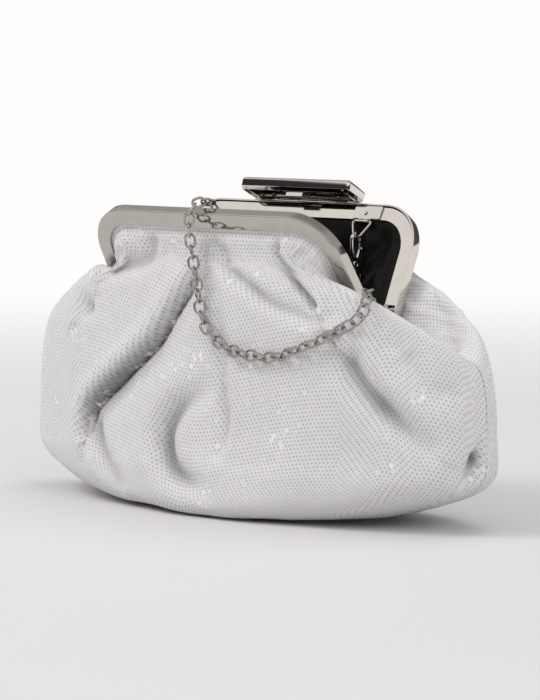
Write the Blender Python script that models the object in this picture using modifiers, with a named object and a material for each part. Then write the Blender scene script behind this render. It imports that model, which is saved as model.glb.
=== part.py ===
"""Evening bag: a gathered sequin pouch on a hinged metal frame, with a bar clasp and a chain.

Metres, +Z up. X runs along the frame, the front is -Y, and the bag stands on Z = 0.
The two frame halves turn about one hinge axis along X, at the height HINGE_HEIGHT.
In a frame half, v runs up from the hinge axis, n runs outwards from the plane in which
the halves meet, and an inset is measured inwards from the half's outline.
"""
import math

import bmesh
import bpy
from mathutils import Matrix, Vector

MM = 0.001

# Frame halves
FRAME_WIDTH = 165 * MM
FRAME_HEIGHT = 71.7 * MM
CORNER_RADIUS = 26.4 * MM
ARM_SPLAY = 3.35 * MM
FRAME_DEPTH = 5.6 * MM
PLATE_WIDTH = 8.5 * MM
SHEET = 1.0 * MM
GAP = 0.3 * MM
RIM = GAP / 2
HINGE_HEIGHT = 88.5 * MM
FRONT, REAR = -1, 1
TILT = {FRONT: math.radians(30), REAR: math.radians(28)}
ARM = FRAME_HEIGHT - CORNER_RADIUS
HALF_WIDTH = FRAME_WIDTH / 2
HINGE_X = HALF_WIDTH + ARM_SPLAY

# Retaining strips, inside each half
STRIP_INSET = 1.4 * MM
STRIP_DEPTH = 1.0 * MM
STRIP_SHEET = 0.8 * MM
STRIP_FOOT = 18.5 * MM

# Hinge ears and rivets
EAR_RADIUS = 4.0 * MM
RIVET_RADIUS = 1.2 * MM
RUNNING_GAP = 0.09 * MM
FRONT_ARM_FOOT = 5.2 * MM
STRAP_X = 83.2 * MM
STRAP_TOP = 9 * MM

# Clasp bar, its pin and its catch
BAR_LENGTH = 74 * MM
BAR_FRONT = -10 * MM
BAR_REAR = 5 * MM
BAR_BOTTOM = FRAME_HEIGHT + 1.5 * MM
BAR_TOP = BAR_BOTTOM + 6.5 * MM
BAR_WALL = 1.2 * MM
BAR_CHAMFER = 1.5 * MM
RIB_X = 33 * MM
PIN_N = 2.2 * MM
PIN_V = FRAME_HEIGHT + 3.5 * MM
PIN_RADIUS = 0.75 * MM
PIN_LENGTH = 69 * MM
BRACKET_X = 25.7 * MM
BRACKET_WIDTH = 8.4 * MM
CATCH_WIDTH = 11 * MM
CATCH_N = -7.1 * MM
CATCH_DROP = 0.8 * MM

# Pouch: half-width, half-depth and height of each ring, from the shoulder down
SHOULDER = (140 * MM, 40 * MM)
BELLY = (148 * MM, 46 * MM, 42 * MM)
HIP = (141 * MM, 51 * MM, 20 * MM)
BASE_EDGE = (98 * MM, 52 * MM, 5 * MM)
FOOT = (62 * MM, 36 * MM, 0.0)
# Lining rings: half-width, half-depth, height, and how far the ends dip below the middle
LINING_RINGS = (
    (68 * MM, 35 * MM, 106 * MM, 33 * MM),
    (112 * MM, 36 * MM, 67 * MM, 0.0),
    (137 * MM, 40 * MM, 42 * MM, 0.0),
    (130 * MM, 44 * MM, 22 * MM, 0.0),
    (90 * MM, 44 * MM, 9 * MM, 0.0),
    (56 * MM, 30 * MM, 4 * MM, 0.0),
)
RING_POWER = 2.2
SWING = 9 * MM
SHOULDER_RISE = 26 * MM
SHOULDER_DIP = 8 * MM
SHOULDER_FALL = 1.4
LAYER_GAP = 0.7 * MM
FABRIC = 1.2 * MM
WADDING = 0.8 * MM
LINING = 0.5 * MM
SKIN_COLUMNS = 21
ROWS_PER_SPAN = 2

# Chain tab and D-ring on the rear half
TAB_X = (37 * MM, 54.4 * MM)
TAB_V = (63.6 * MM, 70.3 * MM)
TAB_N = (0.1 * MM, 0.7 * MM)
TAB_RIVET = (44.4 * MM, 66.6 * MM)
KNUCKLE = (44.9 * MM, -0.3 * MM, 61.6 * MM)
KNUCKLE_RADIUS = 1.35 * MM
KNUCKLE_LENGTH = 8 * MM
KNUCKLE_BORE = 0.75 * MM
WIRE = 0.6 * MM
RING_DROP = 9 * MM
RING_LEAN = math.radians(32)

# Swivel eye on the right hinge rivet
EYE_X = 87 * MM
EYE_SEAT = 2.05 * MM
EYE_LOOP = (89.6 * MM, 9.4 * MM, 2.6 * MM)

# Lobster claws: p is the side of the lever, q runs from the eye to the hook
CLAW_TUBE = 0.9 * MM
HOOK_RADIUS = 2.9 * MM
HOOK_SEAT = 1.0 * MM
CLAW_EYE = 12.4 * MM
LEVER_PIVOT = (0.95 * MM, -9.0 * MM)
OUTER_CLAW_PITCH = math.radians(99)

# Chain: the space its links fill
CHAIN_RADIUS = 2.65 * MM
CHAIN_STEP = 5.3 * MM


# ---------------------------------------------------------------- scene helpers

def clear_scene():
    for obj in list(bpy.data.objects):
        bpy.data.objects.remove(obj)
    for old in list(bpy.data.collections):
        bpy.data.collections.remove(old)


def new_collection(name):
    collection = bpy.data.collections.new(name)
    bpy.context.scene.collection.children.link(collection)
    return collection


clear_scene()
BAG = new_collection("evening_bag")
CUTTERS = new_collection("cutters")


def material(name, color, roughness, metallic):
    made = bpy.data.materials.new(name)
    made.use_nodes = True
    shader = made.node_tree.nodes["Principled BSDF"]
    shader.inputs["Base Color"].default_value = (*color, 1)
    shader.inputs["Roughness"].default_value = roughness
    shader.inputs["Metallic"].default_value = metallic
    return made


NICKEL = (0.72, 0.69, 0.65)
SEQUIN = (0.80, 0.79, 0.80)
BLACK = (0.012, 0.011, 0.011)
WADDING_WHITE = (0.9, 0.9, 0.88)


def dress(obj, color, roughness=0.15, metallic=1.0):
    """Give a part its own material, shaded smooth apart from its sharp edges."""
    obj.data.materials.clear()
    obj.data.materials.append(material(obj.name, color, roughness, metallic))
    if obj.type == "MESH":
        obj.data.shade_smooth()
        obj.data.set_sharp_from_angle(angle=math.radians(35))
    return obj


def keep(obj, name, parent=None, cutter=False):
    """Name an object, hang it on a pivot and file it with the parts or the cutters."""
    obj.name = name
    obj.data.name = name
    for owner in list(obj.users_collection):
        owner.objects.unlink(obj)
    (CUTTERS if cutter else BAG).objects.link(obj)
    if cutter:
        obj.hide_render = True
        obj.display_type = "WIRE"
    obj.parent = parent
    return obj


def pivot(name, location, tilt=0.0, parent=None, facing=0.0):
    empty = bpy.data.objects.new(name, None)
    BAG.objects.link(empty)
    empty.location = location
    empty.rotation_euler = (tilt, 0, facing)
    empty.parent = parent
    return empty


def box(name, low, high, parent=None, cutter=False, chamfer=0.0):
    """A box between two corners, with its edges chamfered on request."""
    low, high = Vector(low), Vector(high)
    bpy.ops.mesh.primitive_cube_add(size=1)
    obj = bpy.context.object
    centre = (low + high) / 2
    for vertex in obj.data.vertices:
        vertex.co = Vector(a * b for a, b in zip(vertex.co, high - low)) + centre
    keep(obj, name, parent, cutter)
    if chamfer:
        bevel = obj.modifiers.new("chamfer", "BEVEL")
        bevel.width = chamfer
        bevel.segments = 1
    return obj


AXES = {
    "X": Matrix(((0, 0, 1), (1, 0, 0), (0, 1, 0))).to_4x4(),
    "Y": Matrix(((0, 1, 0), (0, 0, 1), (1, 0, 0))).to_4x4(),
    "Z": Matrix.Identity(4),
}


def rod(name, centre, radius, length, axis="X", parent=None, cutter=False, sides=24):
    """A cylinder about a point, along one of its pivot's axes."""
    bpy.ops.mesh.primitive_cylinder_add(vertices=sides, radius=radius, depth=length)
    obj = bpy.context.object
    obj.data.transform(Matrix.Translation(centre) @ AXES[axis])
    return keep(obj, name, parent, cutter)


def cut(obj, tool, operation="DIFFERENCE"):
    modifier = obj.modifiers.new(tool.name, "BOOLEAN")
    modifier.operation = operation
    modifier.solver = "EXACT"
    modifier.object = tool


def wire(name, points, radius, parent=None, closed=False, sides=2, cutter=False):
    """A round bar along points: a curve with a bevel and filled caps."""
    curve = bpy.data.curves.new(name, "CURVE")
    curve.dimensions = "3D"
    curve.bevel_depth = radius
    curve.bevel_resolution = sides
    curve.use_fill_caps = not closed
    spline = curve.splines.new("POLY")
    spline.points.add(len(points) - 1)
    for slot, point in zip(spline.points, points):
        slot.co = (*point, 1)
    spline.use_cyclic_u = closed
    obj = bpy.data.objects.new(name, curve)
    bpy.context.scene.collection.objects.link(obj)
    return keep(obj, name, parent, cutter)


def as_mesh(obj):
    """Turn a curve into a mesh with welded caps, so that it can be cut or joined."""
    bpy.context.view_layer.update()
    graph = bpy.context.evaluated_depsgraph_get()
    mesh = bpy.data.meshes.new_from_object(obj.evaluated_get(graph))
    work = bmesh.new()
    work.from_mesh(mesh)
    bmesh.ops.remove_doubles(work, verts=work.verts, dist=0.001 * MM)
    bmesh.ops.recalc_face_normals(work, faces=work.faces)
    work.to_mesh(mesh)
    work.free()
    name, parent = obj.name, obj.parent
    local = obj.matrix_local.copy()
    cutter = obj.name in CUTTERS.objects
    bpy.data.objects.remove(obj)
    made = bpy.data.objects.new(name, mesh)
    bpy.context.scene.collection.objects.link(made)
    keep(made, name, parent, cutter)
    made.matrix_local = local
    return made


def profile(name, outline, length, parent=None):
    """A flat outline of (n, v) points, drawn out along X about X = 0."""
    curve = bpy.data.curves.new(name, "CURVE")
    curve.dimensions = "2D"
    curve.fill_mode = "BOTH"
    curve.extrude = length / 2
    spline = curve.splines.new("POLY")
    spline.points.add(len(outline) - 1)
    for slot, (n, v) in zip(spline.points, outline):
        slot.co = (n, v, 0, 1)
    spline.use_cyclic_u = True
    obj = bpy.data.objects.new(name, curve)
    bpy.context.scene.collection.objects.link(obj)
    obj.matrix_local = AXES["X"]
    return keep(obj, name, parent)


def loft(name, rows, parent=None):
    """An open surface through rows of points."""
    mesh = bpy.data.meshes.new(name)
    width = len(rows[0])
    faces = []
    for r in range(len(rows) - 1):
        for c in range(width - 1):
            at = r * width + c
            faces.append((at, at + 1, at + width + 1, at + width))
    mesh.from_pydata([p for row in rows for p in row], [], faces)
    obj = bpy.data.objects.new(name, mesh)
    bpy.context.scene.collection.objects.link(obj)
    return keep(obj, name, parent)


def blend(a, b, k):
    return a + (b - a) * k


def smooth(k):
    k = min(max(k, 0.0), 1.0)
    return k * k * (3 - 2 * k)


def spline_points(points, per_span):
    """Points on a smooth curve that passes through each given point."""
    points = [Vector(p) for p in points]
    ends = [2 * points[0] - points[1], *points, 2 * points[-1] - points[-2]]
    made = []
    for i in range(1, len(ends) - 2):
        p0, p1, p2, p3 = ends[i - 1:i + 3]
        for step in range(per_span):
            k = step / per_span
            made.append(0.5 * ((2 * p1) + (p2 - p0) * k
                               + (2 * p0 - 5 * p1 + 4 * p2 - p3) * k * k
                               + (3 * p1 - p0 - 3 * p2 + p3) * k ** 3))
    made.append(points[-1])
    return made


def even_points(points, spacing):
    """A smooth curve through points, read at even steps along its length."""
    fine = spline_points(points, 24)
    travelled = [0.0]
    for a, b in zip(fine, fine[1:]):
        travelled.append(travelled[-1] + (b - a).length)
    count = max(2, round(travelled[-1] / spacing))
    made, at = [], 0
    for i in range(count + 1):
        target = travelled[-1] * i / count
        while at < len(fine) - 2 and travelled[at + 1] < target:
            at += 1
        span = max(travelled[at + 1] - travelled[at], 1e-9)
        made.append(fine[at].lerp(fine[at + 1], (target - travelled[at]) / span))
    return made


# ---------------------------------------------------------------- frame halves

TOP_RUN = FRAME_WIDTH - 2 * CORNER_RADIUS
CORNER_RUN = CORNER_RADIUS * math.pi / 2
HALF_RUN = ARM + CORNER_RUN + TOP_RUN / 2


def outline_point(run, inset):
    """(x, v) on the outline, at a signed run from the middle of the top bar."""
    side = -1 if run < 0 else 1
    run = abs(run)
    if run <= TOP_RUN / 2:
        return side * run, FRAME_HEIGHT - inset
    run -= TOP_RUN / 2
    if run <= CORNER_RUN:
        turn = run / CORNER_RADIUS
        reach = CORNER_RADIUS - inset
        x = HALF_WIDTH - CORNER_RADIUS + reach * math.sin(turn)
        return side * x, ARM + reach * math.cos(turn)
    down = min((run - CORNER_RUN) / ARM, 1.0)
    return side * (HALF_WIDTH - inset + ARM_SPLAY * down), ARM * (1 - down)


def frame_runs(foot):
    """Stations along a half, with the corners stepped finely."""
    end = HALF_RUN - foot
    arm_start = TOP_RUN / 2 + CORNER_RUN
    half = [TOP_RUN / 2 * k / 3 for k in range(3)]
    half += [TOP_RUN / 2 + CORNER_RUN * k / 8 for k in range(8)]
    half += [blend(arm_start, end, k / 3) for k in range(4)]
    return [-run for run in reversed(half[1:])] + half


def place(side, x, v, n):
    """World position of a point of one frame half."""
    tilt = TILT[side]
    y = v * math.sin(tilt) + n * math.cos(tilt)
    z = v * math.cos(tilt) - n * math.sin(tilt)
    return Vector((x, side * y, HINGE_HEIGHT + z))


def outer_frame(side, parent, foot):
    """The L-shaped half: a flat plate on the outside and a ledge along its outline."""
    runs = frame_runs(foot)
    section = ((0, RIM), (0, FRAME_DEPTH), (PLATE_WIDTH, FRAME_DEPTH))
    rows = []
    for inset, n in section:
        points = [outline_point(run, inset) for run in runs]
        rows.append([(x, side * n, v) for x, v in points])
    if side == FRONT:
        rows.reverse()
    name = "rear_frame" if side == REAR else "front_frame"
    obj = loft(name, rows, parent)
    shell = obj.modifiers.new("sheet", "SOLIDIFY")
    shell.thickness = SHEET
    shell.offset = -1
    shell.use_even_offset = True
    return obj


def retaining_strip(side, parent):
    """The flat inner band that traps the fabric and the lining in the frame."""
    runs = frame_runs(STRIP_FOOT)
    rows = []
    for inset in (STRIP_INSET, PLATE_WIDTH):
        points = [outline_point(run, inset) for run in runs]
        rows.append([(x, side * STRIP_DEPTH, v) for x, v in points])
    if side == FRONT:
        rows.reverse()
    name = ("rear" if side == REAR else "front") + "_retaining_strip"
    obj = loft(name, rows, parent)
    shell = obj.modifiers.new("sheet", "SOLIDIFY")
    shell.thickness = STRIP_SHEET
    shell.offset = 1
    return dress(obj, NICKEL)


def add_ears(frame, side, parent):
    """The rivet ears: the rear pair lies outside, and the front pair just inside it."""
    hole = RIVET_RADIUS + RUNNING_GAP
    for hand in (-1, 1):
        tag = f"{frame.name}_{'left' if hand < 0 else 'right'}"
        x = HINGE_X - SHEET / 2 if side == REAR else STRAP_X + SHEET / 2
        ear = rod(tag + "_ear", (hand * x, 0, 0), EAR_RADIUS, SHEET, "X", parent, True)
        cut(frame, ear, "UNION")
        if side == FRONT:
            ends = sorted((hand * STRAP_X, hand * (STRAP_X + SHEET)))
            strap = box(tag + "_strap", (ends[0], -3.6 * MM, 0),
                        (ends[1], -0.4 * MM, STRAP_TOP), parent, True)
            cut(frame, strap, "UNION")
            ends = sorted((hand * (STRAP_X + 0.2 * MM), hand * (STRAP_X + 1.8 * MM)))
            joggle = box(tag + "_joggle", (ends[0], -3.4 * MM, FRONT_ARM_FOOT + 0.5 * MM),
                         (ends[1], -0.6 * MM, STRAP_TOP - 0.2 * MM), parent, True)
            cut(frame, joggle, "UNION")
        drill = rod(tag + "_hole", (hand * x, 0, 0), hole, 4 * SHEET, "X", parent, True)
        cut(frame, drill)
    return dress(frame, NICKEL)


def hinge_rivet(hand):
    """A headed rivet through both ears, turned about X."""
    inner = STRAP_X - GAP
    outer = HINGE_X + (GAP if hand < 0 else EYE_SEAT)
    head = 0.8 * MM
    turned = [(0, outer + head), (2.0 * MM, outer + head), (2.4 * MM, outer + 0.5 * head),
              (2.4 * MM, outer), (RIVET_RADIUS, outer), (RIVET_RADIUS, inner),
              (2.2 * MM, inner), (2.2 * MM, inner - head), (0, inner - head)]
    name = "hinge_rivet_" + ("left" if hand < 0 else "right")
    mesh = bpy.data.meshes.new(name)
    points = [(r, 0, along) for r, along in turned]
    mesh.from_pydata(points, [(i, i + 1) for i in range(len(points) - 1)], [])
    obj = bpy.data.objects.new(name, mesh)
    bpy.context.scene.collection.objects.link(obj)
    keep(obj, name)
    screw = obj.modifiers.new("turn", "SCREW")
    screw.steps = screw.render_steps = 24
    screw.use_merge_vertices = True
    screw.merge_threshold = 0.01 * MM
    obj.rotation_euler.y = hand * math.pi / 2
    obj.location = (0, 0, HINGE_HEIGHT)
    return dress(obj, NICKEL)


# ---------------------------------------------------------------- clasp

def clasp_bar(parent):
    """A hollow chamfered bar, open underneath, with two ribs that ride on the pin."""
    half = BAR_LENGTH / 2
    low = (-half, BAR_FRONT - PIN_N, BAR_BOTTOM - PIN_V)
    high = (half, BAR_REAR - PIN_N, BAR_TOP - PIN_V)
    bar = box("clasp_bar", low, high, parent, chamfer=BAR_CHAMFER)
    hollow = box("bar_hollow", (low[0] + BAR_WALL, low[1] + BAR_WALL, low[2] - 5 * MM),
                 (high[0] - BAR_WALL, high[1] - BAR_WALL, high[2] - BAR_WALL), parent, True)
    cut(bar, hollow)
    for hand in (-1, 1):
        x = hand * RIB_X
        rib = box(f"bar_rib_{hand + 1}", (x - 0.6 * MM, low[1] + 0.6 * MM, low[2] + 0.6 * MM),
                  (x + 0.6 * MM, high[1] - 0.6 * MM, high[2] - 0.6 * MM), parent, True)
        cut(bar, rib, "UNION")
        bore = rod(f"bar_bore_{hand + 1}", (x, 0, 0), PIN_RADIUS + RUNNING_GAP, 3 * MM,
                   "X", parent, True)
        cut(bar, bore)
    return dress(bar, NICKEL, 0.08)


def clasp_catch(parent):
    """The folded hook in the bar that drops in front of the front half's top edge."""
    foot = FRAME_HEIGHT - CATCH_DROP - PIN_V
    ceiling = BAR_TOP - BAR_WALL - GAP - PIN_V
    n = CATCH_N - PIN_N
    outline = [(n, foot), (n + SHEET, foot), (n + SHEET, ceiling - SHEET),
               (n + 6 * SHEET, ceiling - SHEET), (n + 6 * SHEET, ceiling), (n, ceiling)]
    return dress(profile("clasp_catch", outline, CATCH_WIDTH, parent), NICKEL)


def clasp_brackets(parent):
    """Two small saddles on the rear half's top edge, each with two ears for the pin."""
    made = []
    foot = FRAME_HEIGHT + GAP
    for hand in (-1, 1):
        name = "clasp_bracket_" + ("left" if hand < 0 else "right")
        centre = hand * BRACKET_X
        half = BRACKET_WIDTH / 2
        saddle = box(name, (centre - half, 0.4 * MM, foot),
                     (centre + half, 2.4 * MM, foot + SHEET), parent)
        for end in (-1, 1):
            x = centre + end * (half - SHEET / 2)
            post = box(f"{name}_post_{end + 1}", (x - SHEET / 2, 0.9 * MM, foot + 0.3 * MM),
                       (x + SHEET / 2, 2.35 * MM, PIN_V), parent, True)
            cut(saddle, post, "UNION")
            ear = rod(f"{name}_ear_{end + 1}", (x, PIN_N, PIN_V), 1.4 * MM, SHEET,
                      "X", parent, True, 16)
            cut(saddle, ear, "UNION")
        bore = rod(name + "_bore", (centre, PIN_N, PIN_V), PIN_RADIUS + RUNNING_GAP,
                   2 * BRACKET_WIDTH, "X", parent, True)
        cut(saddle, bore)
        made.append(dress(saddle, NICKEL))
    return made


def clasp_spring(parent):
    """The torsion spring that holds the bar down, wound round the middle of the pin."""
    turns, steps, radius, pitch = 5, 10, 1.35 * MM, 0.7 * MM
    count = turns * steps
    coil = []
    for i in range(count + 1):
        angle = 2 * math.pi * i / steps - math.pi / 2
        x = -turns * pitch / 2 + pitch * i / steps
        coil.append((x, PIN_N + radius * math.cos(angle), PIN_V + radius * math.sin(angle)))
    start, end = Vector(coil[0]), Vector(coil[-1])
    lower = [start + Vector(leg) * MM for leg in ((-1.2, -4, -0.3), (-0.8, -1.5, -0.1))]
    upper = [end + Vector(leg) * MM for leg in ((0.8, 0.6, 0.1), (1.2, 1.0, 1.2))]
    return dress(wire("clasp_spring", [*lower, *coil, *upper], 0.22 * MM, parent, sides=1), NICKEL)


# ---------------------------------------------------------------- pouch

# How a column of the outer fabric leaves the frame: each row has its inset and its n in
# millimetres, at the top bar, down the arms and past the hinge, then its sag.
CHANNEL_ROWS = (
    ((4.5, 4.5, 13.0), (4.2, 4.2, 4.2), 0.0),
    ((9.6, 9.6, 12.6), (4.2, 4.2, 4.4), 0.0),
    ((11.6, 11.6, 12.0), (4.6, 5.8, 6.0), 0.03),
    ((14.0, 9.5, 10.0), (7.0, 8.2, 8.2), 0.12),
    ((22.0, -3.0, -3.0), (10.5, 9.0, 9.0), 0.4),
)
# The same for the lining, which leaves the frame closer to its middle.
LINING_ROWS = (
    ((4.5, 4.5, 16.0), (2.6, 2.6, 4.0), 0.0),
    ((9.6, 9.6, 17.0), (2.6, 2.6, 4.0), 0.0),
    ((13.5, 13.5, 18.0), (3.6, 3.0, 4.5), 0.0),
    ((20.0, 16.0, 18.5), (6.9, 3.4, 5.0), 0.0),
)


def frame_point(side, turn, row):
    """A point of a column where it leaves one frame half."""
    run = HALF_RUN * turn
    down = max(abs(run) - TOP_RUN / 2 - CORNER_RUN, 0.0) / ARM
    travel = down * (ARM + SWING * (math.pi / 2 - TILT[side]))
    around = max(travel - ARM, 0.0) / SWING
    arm = smooth((abs(run) - TOP_RUN / 2 - 0.3 * CORNER_RUN) / CORNER_RUN)
    loose = smooth((abs(turn) - 0.84) / 0.08)
    insets, outs, sag = row
    inset, out = (MM * blend(blend(k[0], k[1], arm), k[2], loose) for k in (insets, outs))
    x, v = outline_point(run, inset)
    if down > 0:
        v = ARM - min(travel, ARM)
    v -= sag * v * arm + out * math.sin(around)
    return place(side, x, v, out * math.cos(around))


def ring_point(side, half_width, half_depth, height, turn):
    """A point on a rounded ring of the pouch; turn runs -1 (left seam) to 1 (right seam)."""
    angle = turn * math.pi / 2
    x = math.copysign(abs(math.sin(angle)) ** (2 / RING_POWER), turn)
    y = abs(math.cos(angle)) ** (2 / RING_POWER)
    return Vector((half_width * x, side * max(half_depth * y, RIM), height))


def close_column(side, turn, controls):
    """End a column on the bottom seam, and keep the outermost columns on the side seam."""
    seam = controls[-1].copy()
    seam.x *= 0.9
    seam.y = side * RIM
    controls.append(seam)
    if abs(turn) == 1:
        for point in controls:
            point.y = side * RIM
    return controls


def fabric_controls(side, turn):
    """The points that one column of the outer fabric passes through."""
    controls = [frame_point(side, turn, row) for row in CHANNEL_ROWS]
    rise = SHOULDER_RISE - (SHOULDER_RISE + SHOULDER_DIP) * abs(turn) ** SHOULDER_FALL
    controls.append(ring_point(side, *SHOULDER, HINGE_HEIGHT + rise, turn))
    controls += [ring_point(side, *ring, turn) for ring in (BELLY, HIP, BASE_EDGE, FOOT)]
    return close_column(side, turn, controls)


def lining_controls(side, turn):
    """The points that one column of the lining passes through; it hangs as a smaller sack."""
    controls = [frame_point(side, turn, row) for row in LINING_ROWS]
    for width, reach, height, dip in LINING_RINGS:
        controls.append(ring_point(side, width, reach, height - dip * turn ** 2, turn))
    return close_column(side, turn, controls)


def layer_grid(controls, side, floor):
    """Rows of points over one face of a layer, from the frame to the bottom seam."""
    columns = []
    for c in range(SKIN_COLUMNS):
        k = 2 * c / (SKIN_COLUMNS - 1) - 1
        turn = math.copysign(1 - (1 - abs(k)) ** 1.5, k)
        column = spline_points(controls(side, turn), ROWS_PER_SPAN)
        columns.append([Vector((p.x, p.y, max(p.z, floor))) for p in column])
    return [list(row) for row in zip(*columns)]


def moved_in(grid, side, thickness):
    """A grid's other face: moved inwards along its normals, but not past the seams."""
    last_row, last = len(grid) - 1, len(grid[0]) - 1
    made = []
    for r in range(last_row + 1):
        row = []
        for c in range(last + 1):
            along = grid[r][min(c + 1, last)] - grid[r][max(c - 1, 0)]
            down = grid[min(r + 1, last_row)][c] - grid[max(r - 1, 0)][c]
            point = grid[r][c] + down.cross(along).normalized() * side * thickness
            point.y = side * max(side * point.y, RIM)
            row.append(point)
        made.append(row)
    return made


def skin(name, outer, inner, color, roughness):
    """One closed layer between an outer and an inner grid of points."""
    layers = [outer, inner]
    rows, width = len(layers[0]), len(layers[0][0])
    size = rows * width
    faces = []
    for r in range(rows - 1):
        for c in range(width - 1):
            at = r * width + c
            faces.append((at, at + 1, at + width + 1, at + width))
            faces.append((at + size + width, at + size + width + 1, at + size + 1, at + size))
    edge = [r * width for r in range(rows)]
    edge += [(rows - 1) * width + c for c in range(1, width)]
    edge += [r * width + width - 1 for r in range(rows - 2, -1, -1)]
    edge += list(range(width - 2, 0, -1))
    for a, b in zip(edge, edge[1:] + edge[:1]):
        faces.append((a, b, b + size, a + size))
    mesh = bpy.data.meshes.new(name)
    mesh.from_pydata([p for layer in layers for row in layer for p in row], [], faces)
    work = bmesh.new()
    work.from_mesh(mesh)
    bmesh.ops.recalc_face_normals(work, faces=work.faces)
    work.to_mesh(mesh)
    work.free()
    obj = bpy.data.objects.new(name, mesh)
    bpy.context.scene.collection.objects.link(obj)
    return dress(keep(obj, name), color, roughness, 0.0)


def panel_layers(side):
    """Sequin fabric outside, wadding behind it, and the black lining hung inside."""
    word = "rear" if side == REAR else "front"
    cloth = layer_grid(fabric_controls, side, 0.0)
    skin(word + "_panel", cloth, moved_in(cloth, side, FABRIC), SEQUIN, 0.45)
    below = FABRIC + LAYER_GAP
    shoulder_row = len(CHANNEL_ROWS) * ROWS_PER_SPAN
    pads = [moved_in(cloth, side, deep)[shoulder_row:] for deep in (below, below + WADDING)]
    skin(word + "_wadding", *pads, WADDING_WHITE, 0.9)
    sack = layer_grid(lining_controls, side, LINING_RINGS[-1][2])
    skin(word + "_lining", sack, moved_in(sack, side, LINING), BLACK, 0.35)


# ---------------------------------------------------------------- chain fittings

def torus(name, centre, ring, tube, axis, parent=None, cutter=False):
    """A ring about an axis of its pivot."""
    bpy.ops.mesh.primitive_torus_add(major_radius=ring, minor_radius=tube,
                                     major_segments=24, minor_segments=8)
    obj = bpy.context.object
    obj.data.transform(Matrix.Translation(centre) @ AXES[axis])
    return keep(obj, name, parent, cutter)


def chain_tab(parent, strip):
    """The riveted plate on the rear strip, rolled into a knuckle for the D-ring."""
    (x0, x1), (v0, v1), (n0, n1) = TAB_X, TAB_V, TAB_N
    x, n, v = KNUCKLE
    half = KNUCKLE_LENGTH / 2
    tab = box("chain_tab", (x0, n0, v0), (x1, n1, v1), parent)
    cut(tab, box("tab_neck", (x - half, n0, v + 0.9 * MM), (x + half, n1, v0 + 0.5 * MM),
                 parent, True), "UNION")
    cut(tab, rod("tab_knuckle", KNUCKLE, KNUCKLE_RADIUS, KNUCKLE_LENGTH, "X", parent, True),
        "UNION")
    cut(tab, rod("tab_bore", KNUCKLE, KNUCKLE_BORE, 2 * KNUCKLE_LENGTH, "X", parent, True))
    hole = rod("tab_hole", (TAB_RIVET[0], 0, TAB_RIVET[1]), WIRE + RUNNING_GAP, 8 * MM, "Y",
               parent, True, 16)
    cut(tab, hole)
    cut(strip, hole)
    rivet = rod("tab_rivet", (TAB_RIVET[0], 0.75 * MM, TAB_RIVET[1]), WIRE, 2 * MM, "Y", parent,
                sides=16)
    head = rod("tab_rivet_head", (TAB_RIVET[0], -0.35 * MM, TAB_RIVET[1]), 1.1 * MM, 0.3 * MM,
               "Y", parent, True, 16)
    cut(rivet, head, "UNION")
    dress(rivet, NICKEL)
    return dress(tab, NICKEL)


def d_ring(parent):
    """A wire ring with a straight bar in the knuckle and sides that draw together below."""
    half = [(4.9, 0), (5.5, -0.25), (5.75, -0.9), (5.5, -1.6), (2.6, -7.2), (1.9, -8.2), (1.0, -8.8)]
    right = [(x * MM, 0, z * MM) for x, z in half]
    left = [(-x, y, z) for x, y, z in reversed(right)]
    ring = wire("d_ring", [*right, (0, 0, -RING_DROP), *left, (0, 0, 0)], WIRE, parent, closed=True)
    return dress(as_mesh(ring), NICKEL)


def hinge_eye(parent):
    """The swivel on the right rivet: a small eye round the shank and a crosswise loop above."""
    x, height, reach = EYE_LOOP
    eye = torus("hinge_eye", (EYE_X, 0, 0), 1.95 * MM, WIRE, "X", parent)
    loop = torus("hinge_eye_loop", (x, 0, height), reach, WIRE, "Y", parent, True)
    low = (EYE_X, 0, 1.7 * MM)
    high = (x - 0.7 * reach, 0, height - 0.7 * reach)
    stem = wire("hinge_eye_stem", [low, (EYE_X, 0, 4 * MM), high], 1.15 * WIRE, parent, cutter=True)
    cut(eye, as_mesh(stem), "UNION")
    cut(eye, loop, "UNION")
    return dress(eye, NICKEL)


def claw_point(p, q):
    """A claw's outline point, with the pivot on the wire that the hook hangs from."""
    return Vector((0, p, q - HOOK_SEAT))


def claw(name, parent):
    """A lobster claw: a round hook that runs down one side into an eye for the chain."""
    points = []
    for i in range(13):
        turn = math.radians(-20 + 200 * i / 12)
        points.append(claw_point(HOOK_RADIUS * math.cos(turn), HOOK_RADIUS * math.sin(turn)))
    for p, q in ((-2.85, -2.2), (-2.7, -4.4), (-2.2, -6.6), (-1.2, -8.8), (-0.2, -10.4), (0, -11.2)):
        points.append(claw_point(p * MM, q * MM))
    body = as_mesh(wire(name, points, CLAW_TUBE, parent))
    eye = torus(name + "_eye", claw_point(0, -CLAW_EYE), 1.5 * MM, 0.55 * MM, "X", parent, True)
    cut(body, eye, "UNION")
    return dress(body, NICKEL)


def claw_lever(name, parent):
    """The sprung gate of a claw, with a thumb knob; its pivot is at the lower end."""
    p0, q0 = LEVER_PIVOT
    path = [(0, 0), (0.9, 2.0), (1.5, 4.0), (1.75, 6.6)]
    lever = as_mesh(wire(name, [(0, p * MM, q * MM) for p, q in path], 0.55 * MM, parent))
    bpy.ops.mesh.primitive_uv_sphere_add(segments=12, ring_count=8, radius=1.1 * MM)
    knob = bpy.context.object
    knob.data.transform(Matrix.Translation((0, 2.9 * MM, 4.1 * MM)))
    cut(lever, keep(knob, name + "_knob", parent, True), "UNION")
    return dress(lever, NICKEL)


def hang_claw(name, parent, wire_at, pitch, facing=0.0):
    """A claw and its lever on a pivot at the wire that it hangs from."""
    hook = pivot(name + "_pivot", wire_at, pitch, parent, facing)
    claw(name, hook)
    gate = pivot(name + "_lever_pivot", claw_point(*LEVER_PIVOT), parent=hook)
    claw_lever(name + "_lever", gate)


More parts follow.
